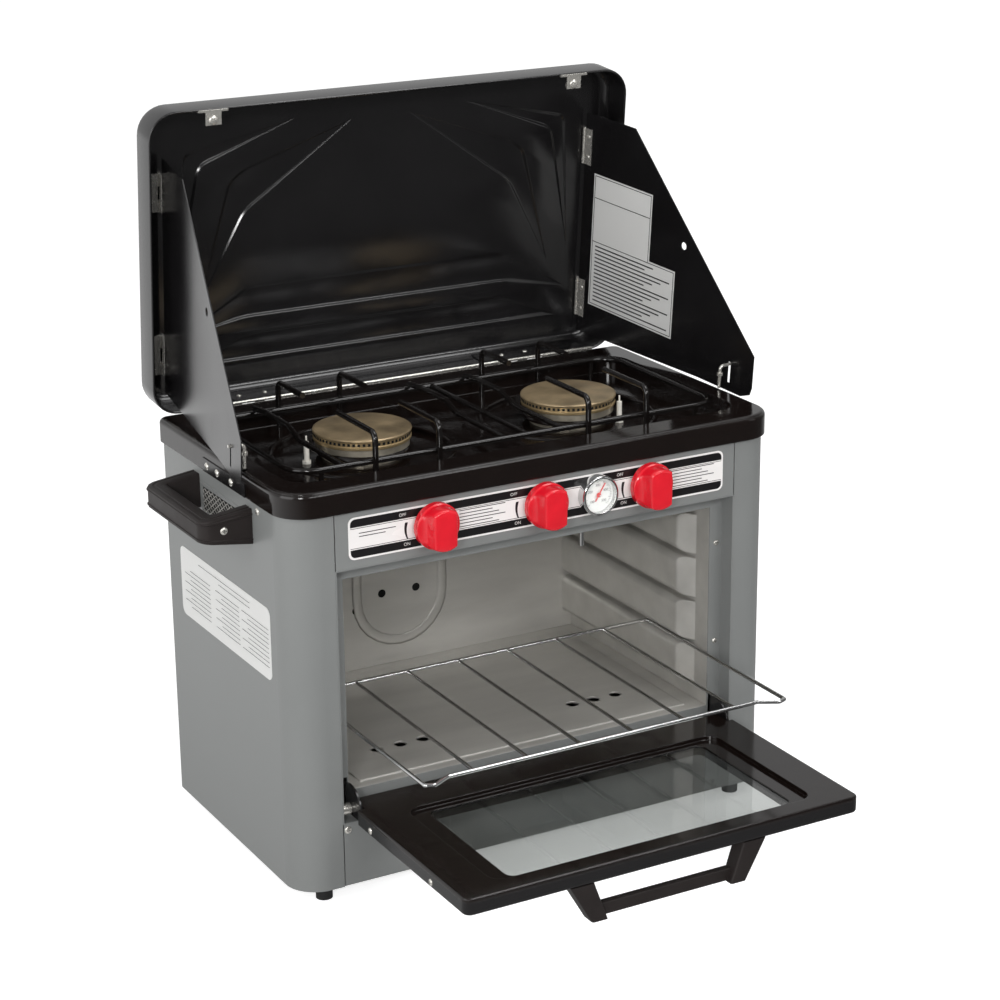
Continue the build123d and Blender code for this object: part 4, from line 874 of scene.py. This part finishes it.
class CAMPOVEN_OT_catches(bpy.types.Operator):
    """Round pins and rivets of the lid's catches, and the straps beside the deck"""
    bl_idname = "camp_oven.catches"
    bl_label = "Catches and straps"

    def execute(self, context):
        front = (0.0, -math.cos(LID_LEAN), -math.sin(LID_LEAN))
        round_head = head_tree("catch_head", "zinc")
        pins = [(lid_mm(side * 197.0, -1.7, 290.5), front) for side in (-1, 1)]
        rivets = [(lid_mm(side * x, 2.0, 299.4), front) for side in (-1, 1) for x in (183.5, 210.5)]
        for name, places, radius in (("pins", pins, 4.6), ("rivets", rivets, 1.8)):
            strewn(f"catch_{name}", places, round_head, "lid", "zinc", radius=radius, height=1.6)

        # the right strap carries a lip for the windscreen's foot, the left one is plain
        skirt, face, lip = 262.32, 263.3, 277.3
        straps = (("left", [((-face, -skirt), (-62.0, 34.0), (366.0, 379.0))]),
                  ("right", [((skirt, face), (-92.0, 34.0), (366.0, 379.0)),
                             ((face, lip), (-92.0, -40.0), (366.0, 367.0)),
                             ((lip - 1.0, lip), (-92.0, -40.0), (367.0, 372.0))]))
        for name, spans in straps:
            strap = piece(f"deck_strap_{name}", blocks(case_mm, spans), ["black_paint"], "case")
            if name == "right":
                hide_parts("screen_brackets")
        return {"FINISHED"}


class CAMPOVEN_OT_burners(bpy.types.Operator):
    """Burner caps: a turned disc over a bright ring, with dark marks of painted shade for its row of flame
    ports
    """
    bl_idname = "camp_oven.burners"
    bl_label = "Burner caps"

    def execute(self, context):
        steps = 72
        # radius and height down the cap's side; the disc ends at the eighth
        profile = ((0.05, 395.0), (20.0, 395.0), (44.6, 394.8), (46.3, 394.4), (47.2, 393.8), (47.5, 393.0),
                   (47.3, 392.1), (46.6, 391.5), (46.1, 391.2), (46.0, 387.4), (46.9, 386.8), (47.0, 385.4),
                   (46.7, 384.3), (45.9, 383.8), (0.05, 383.8))
        disc_rows, all_rows = 7, len(profile) - 1
        # the head's lower part, a black enamel band of painted shade where the bowl shades it, and the
        # rolled edge of the bowl round it
        bands = (("base", ((45.02, 377.6), (45.3, 377.2), (45.3, 372.2), (45.02, 372.1))),
                 ("bowl_edge", ((83.7, 370.4), (84.0, 371.4), (85.2, 372.4), (86.8, 372.7), (88.4, 372.2),
                                (89.6, 371.2), (89.8, 370.6))))
        port_r, port_z = 45.6, 389.4
        # the ports are dark blocks set into the ring: painted shade of their openings
        ports = tick_tree("painted_port_shade", "hole")
        for name, x in (("left", -113.5), ("right", 113.5)):
            def turned(outline):
                return [[case_mm(x + r * c, r * s, z) for c, s in circle(steps)] for r, z in outline]

            gilt = [0] * disc_rows * steps + [1] * (all_rows - disc_rows) * steps + [0, 1]
            cap = piece(f"cap_disc_{name}", skin(turned(profile)), ["cap", "brass"], "case",
                        gilt, sharp=40.0)
            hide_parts(f"burner_cap_{name}")
            places = [(case_mm(x + port_r * c, port_r * s, port_z), (c, s, 0.0))
                      for c, s in circle(context.scene.camp_oven_sizes.port_count)]
            strewn(f"painted_port_shades_{name}", places, ports, "case", "gold_cap",
                   length=1.4, width=2.5, thickness=2.6)
            # the base band in black enamel is painted shade on the head's lower part
            for part, outline in bands:
                piece(f"cap_{part}_{name}", skin(turned(outline), closed=True), ["enamel"], "case",
                      sharp=60.0)
        return {"FINISHED"}


class CAMPOVEN_OT_fascia_print(bpy.types.Operator):
    """Black bands, ruled lines and arcs printed on the silver film"""
    bl_idname = "camp_oven.fascia_print"
    bl_label = "Fascia print"

    def execute(self, context):
        front, thin = -CASE_Y - 0.4, 0.08
        half, low, high = 198.6, 321.3, 357.7
        corner, band = 5.0, 7.6

        def slab(name, outline):
            rings = [[case_mm(x, y, z) for x, z in outline] for y in (front, front - thin)]
            piece(name, skin(rings), ["ink"], "case")

        def ruled(name, ends, length, thickness):
            places = [(case_mm(x, front - thin / 2, z), ALONG) for x, z in ends]
            strewn(name, places, ticks, "case", "overlay", length=length, width=thin, thickness=thickness)

        for name, near, way in (("upper", high, -1), ("lower", low, 1)):
            outline = [(cx + corner * c, near + way * (corner - corner * s))
                       for cx, start in ((half - corner, 0), (-half + corner, 90))
                       for c, s in arc(start, start + 90, 6)]
            slab(f"print_band_{name}", outline + [(-half, near + way * band), (half, near + way * band)])
        ticks = tick_tree("print_lines", "ink")
        ruled("print_rules", [(0.0, high - 8.8), (0.0, low + 8.8)], 2 * half, 0.5)
        # ruled lines stand in the places of the printed words: ends of the lines, rows, top row
        line = 0
        for x0, x1, rows, top in ((-190.0, -153.0, 2, 344.0), (-88.0, -40.0, 6, 347.5),
                                  (141.0, 190.0, 6, 347.5)):
            for i in range(rows):
                length = (x1 - x0) * (1.0 - 0.14 * ((i * 2) % 3))
                ruled(f"print_line_{line}", [(x0 + length / 2, top - 3.1 * i)], length, 0.75)
                line += 1
        # an arc at the left of each knob, thick at its top and thin where it meets the lower band
        wide, tall, knob_z = 29.5, 24.5, 340.0
        for name, x in KNOBS:
            turns = list(enumerate(arc(166, 226, 16)))
            outer = [(x + wide * c, knob_z + tall * s) for i, (c, s) in turns]
            inner = [(x + (wide - 3.0 + 2.4 * i / 16) * c, knob_z + tall * s) for i, (c, s) in turns]
            slab(f"print_arc_{name}", [p for p in outer + inner[::-1] if p[1] > low + 7.7])
            for text, dx, z in (("OFF", -31.0, high - 4.0), ("ON", -27.0, low + 3.9)):
                spot = case_mm(x + dx, front - thin * 0.9, z)
                lettering(f"print_{text}_{name}", text, 4.2, thin / 2, spot, "pale_ink")
        return {"FINISHED"}


class CAMPOVEN_OT_dial_print(bpy.types.Operator):
    """Ticks and plain numbers on the thermometer's dial"""
    bl_idname = "camp_oven.dial_print"
    bl_label = "Dial print"

    def execute(self, context):
        low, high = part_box("thermometer_dial")
        x0, z0 = (low.x + high.x) / 2 / MM, (low.z + high.z) / 2 / MM - FOOT
        thin = 0.05
        face = low.y / MM - thin / 2
        tree = tick_tree("dial_ticks", "ink")
        start, stop = 225, -45
        ways = list(enumerate(arc(start, stop, 40)))
        # every fourth tick is a long one
        for name, is_long, radius, length in (("long", True, 13.4, 2.8), ("short", False, 14.0, 1.6)):
            places = [(case_mm(x0 + radius * c, face, z0 + radius * s), (c, 0.0, s))
                      for i, (c, s) in ways if (i % 4 == 0) == is_long]
            strewn(f"dial_ticks_{name}", places, tree, "case", "dial_white",
                   length=length, width=thin, thickness=0.35)
        number_r = 9.2
        for i, (c, s) in enumerate(arc(start, stop, 4)):
            lettering(f"dial_number_{i}", str(100 * (i + 1)), 3.6, thin / 2,
                      case_mm(x0 + number_r * c, face, z0 + number_r * s), "ink")
        return {"FINISHED"}


class CAMPOVEN_OT_stickers(bpy.types.Operator):
    """Thin borders and ruled lines on the two blank stickers"""
    bl_idname = "camp_oven.stickers"
    bl_label = "Stickers"

    def execute(self, context):
        # the case's sticker: three columns of lines under two long ones, as middle, height and length
        tree = tick_tree("sticker_lines", "ink")
        runs = [(4.0, 262.0, 120.0), (-20.0, 257.0, 72.0)]
        for column, (start, width) in enumerate(((-97.0, 60.0), (-31.0, 62.0), (37.0, 62.0))):
            for row in range(9):
                length = width * (1.0 - 0.11 * ((row * 2 + column) % 4))
                runs.append((start + length / 2, 249.0 - 4.6 * row, length))
        for i, (y, z, length) in enumerate(runs):
            strewn(f"rating_line_{i}", [(case_mm(-CASE_X - 0.33, y, z), (0.0, 1.0, 0.0))], tree, "case",
                   "label", length=length, width=0.9, thickness=0.06)

        # the screen's sticker: a border round its stepped outline and ruled lines inside it
        turn = math.radians(8.16)
        hinge_x, hinge_d = 235.6, 35.0

        def on_screen(x, w, h):
            return lid_mm(hinge_x + x * math.cos(turn) + w * math.sin(turn),
                          hinge_d + x * math.sin(turn) - w * math.cos(turn), h)

        edge = ((22.0, 48.5), (151.5, 48.5), (151.5, 116.5), (111.0, 116.5), (111.0, 186.7), (22.0, 186.7))
        line = 0.4
        bars = [((min(w0, w1) - line, max(w0, w1) + line), (min(h0, h1) - line, max(h0, h1) + line))
                for (w0, h0), (w1, h1) in zip(edge, edge[1:] + edge[:1])]
        bars += [((22.0, 111.0), (h - line, h + line)) for h in (163.4, 116.5)]
        bars += [((27.0, 146.0 - 13.0 * ((i * 3) % 4)), (52.5 + 4.2 * i, 53.9 + 4.2 * i))
                 for i in range(15)]
        depth = (SCREEN_FACE, SCREEN_FACE - 0.06)
        piece("screen_label_lines", blocks(on_screen, [(depth, *bar) for bar in bars]), ["ink"],
              "windscreen_right")
        return {"FINISHED"}


class CAMPOVEN_OT_oven_pressings(bpy.types.Operator):
    """Bead of the oven's back wall, and dark discs of painted shade where its air holes are"""
    bl_idname = "camp_oven.oven_pressings"
    bl_label = "Oven pressings"

    def execute(self, context):
        back, bead_top = 137.0, 286.0
        bead_x, bead_z, bead_r = -8.6, 160.6, 49.6
        line = [(bead_x + bead_r * c, bead_z + bead_r * s) for c, s in arc(180, 360, 12)]
        line = [(bead_x - bead_r, bead_top), *line, (bead_x + bead_r, bead_top)]
        base = bpy.data.curves.new("base", "CURVE")
        base.dimensions = "3D"
        run = base.splines.new("POLY")
        run.points.add(len(line) - 1)
        for point, (x, z) in zip(run.points, line):
            point.co = (x * MM, z * MM, 0.0, 1.0)
        tree = bead_tree("oven_bead", "aluminised")
        bead = grown("oven_back_bead", base, tree, {"width": 11.0, "rise": 2.0})
        bead.transform(Matrix.Translation(case_mm(0, back, 0)) @ Matrix.Rotation(math.pi / 2, 4, "X"))
        place("oven_back_bead", bead, "case", 60.0)
        # dark discs on the wall where its air holes are: painted shade of the openings
        for i, (x, z) in enumerate(((-29.5, 165.4), (10.2, 165.4), (-59.6, 151.9))):
            rings = [[case_mm(x + r * c, back - out, z + r * s) for c, s in circle(24)]
                     for r, out in ((4.4, 0.0), (4.2, 0.25), (3.6, 0.3))]
            piece(f"air_hole_{i}", skin(rings), ["hole"], "case")
        return {"FINISHED"}


class CAMPOVEN_OT_deck_trim(bpy.types.Operator):
    """Bright hinge strip behind the deck and plates on the lid's lower flange"""
    bl_idname = "camp_oven.deck_trim"
    bl_label = "Deck trim"

    def execute(self, context):
        strip = [(x, (149.6, 150.6), (376.0, 390.2)) for x in ((-232, -171), (-129, 129), (171, 232))]
        piece("hinge_strip", blocks(case_mm, strip), ["zinc"], "case")
        plates = [(x, (3.0, 36.0), (1.2, 2.0)) for x in ((-173, -119), (107, 229))]
        piece("flange_plates", blocks(lid_mm, plates), ["black_paint"], "lid")
        roll_r, roll_y, roll_z = 1.7, 150.2, 389.6
        rings = [[case_mm(x, roll_y + roll_r * c, roll_z + roll_r * s) for c, s in circle(12)]
                 for x in (-232.0, 232.0)]
        piece("hinge_roll", skin(rings), ["zinc"], "case")
        up = (0.0, -math.sin(LID_LEAN), math.cos(LID_LEAN))
        places = [(lid_mm(x, 18.0, 2.1), up) for x in (-164.0, -136.0, 136.0, 164.0)]
        strewn("hinge_rivets", places, head_tree("round_rivet", "zinc"), "lid", "zinc",
               radius=2.6, height=1.3)
        return {"FINISHED"}


class CAMPOVEN_PT_panel(bpy.types.Panel):
    """Lists the operators and settings"""
    bl_idname = "CAMPOVEN_PT_panel"
    bl_label = "Camp oven"
    bl_space_type = "VIEW_3D"
    bl_region_type = "UI"
    bl_category = "Camp oven"

    def draw(self, context):
        for step in STEPS:
            self.layout.operator(step.bl_idname)
        for group in (context.scene.camp_oven_colours, context.scene.camp_oven_sizes):
            box = self.layout.box()
            for name in group.__annotations__:
                box.prop(group, name)


STEPS = (CAMPOVEN_OT_stage, CAMPOVEN_OT_frame_finishes, CAMPOVEN_OT_lid, CAMPOVEN_OT_catches,
         CAMPOVEN_OT_burners, CAMPOVEN_OT_knobs, CAMPOVEN_OT_handles, CAMPOVEN_OT_vents,
         CAMPOVEN_OT_fasteners, CAMPOVEN_OT_fascia_print, CAMPOVEN_OT_dial_print, CAMPOVEN_OT_stickers,
         CAMPOVEN_OT_oven_pressings, CAMPOVEN_OT_deck_trim)
CLASSES = (CampOvenColours, CampOvenSizes, *STEPS, CAMPOVEN_PT_panel)


def register():
    for kind in CLASSES:
        bpy.utils.register_class(kind)
    bpy.types.Scene.camp_oven_colours = bpy.props.PointerProperty(type=CampOvenColours)
    bpy.types.Scene.camp_oven_sizes = bpy.props.PointerProperty(type=CampOvenSizes)


def unregister():
    del bpy.types.Scene.camp_oven_sizes
    del bpy.types.Scene.camp_oven_colours
    for kind in reversed(CLASSES):
        bpy.utils.unregister_class(kind)


def main():
    """Registers the add-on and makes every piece."""
    register()
    for step in STEPS:
        group, name = step.bl_idname.split(".")
        getattr(getattr(bpy.ops, group), name)()


if __name__ == "__main__":
    main()
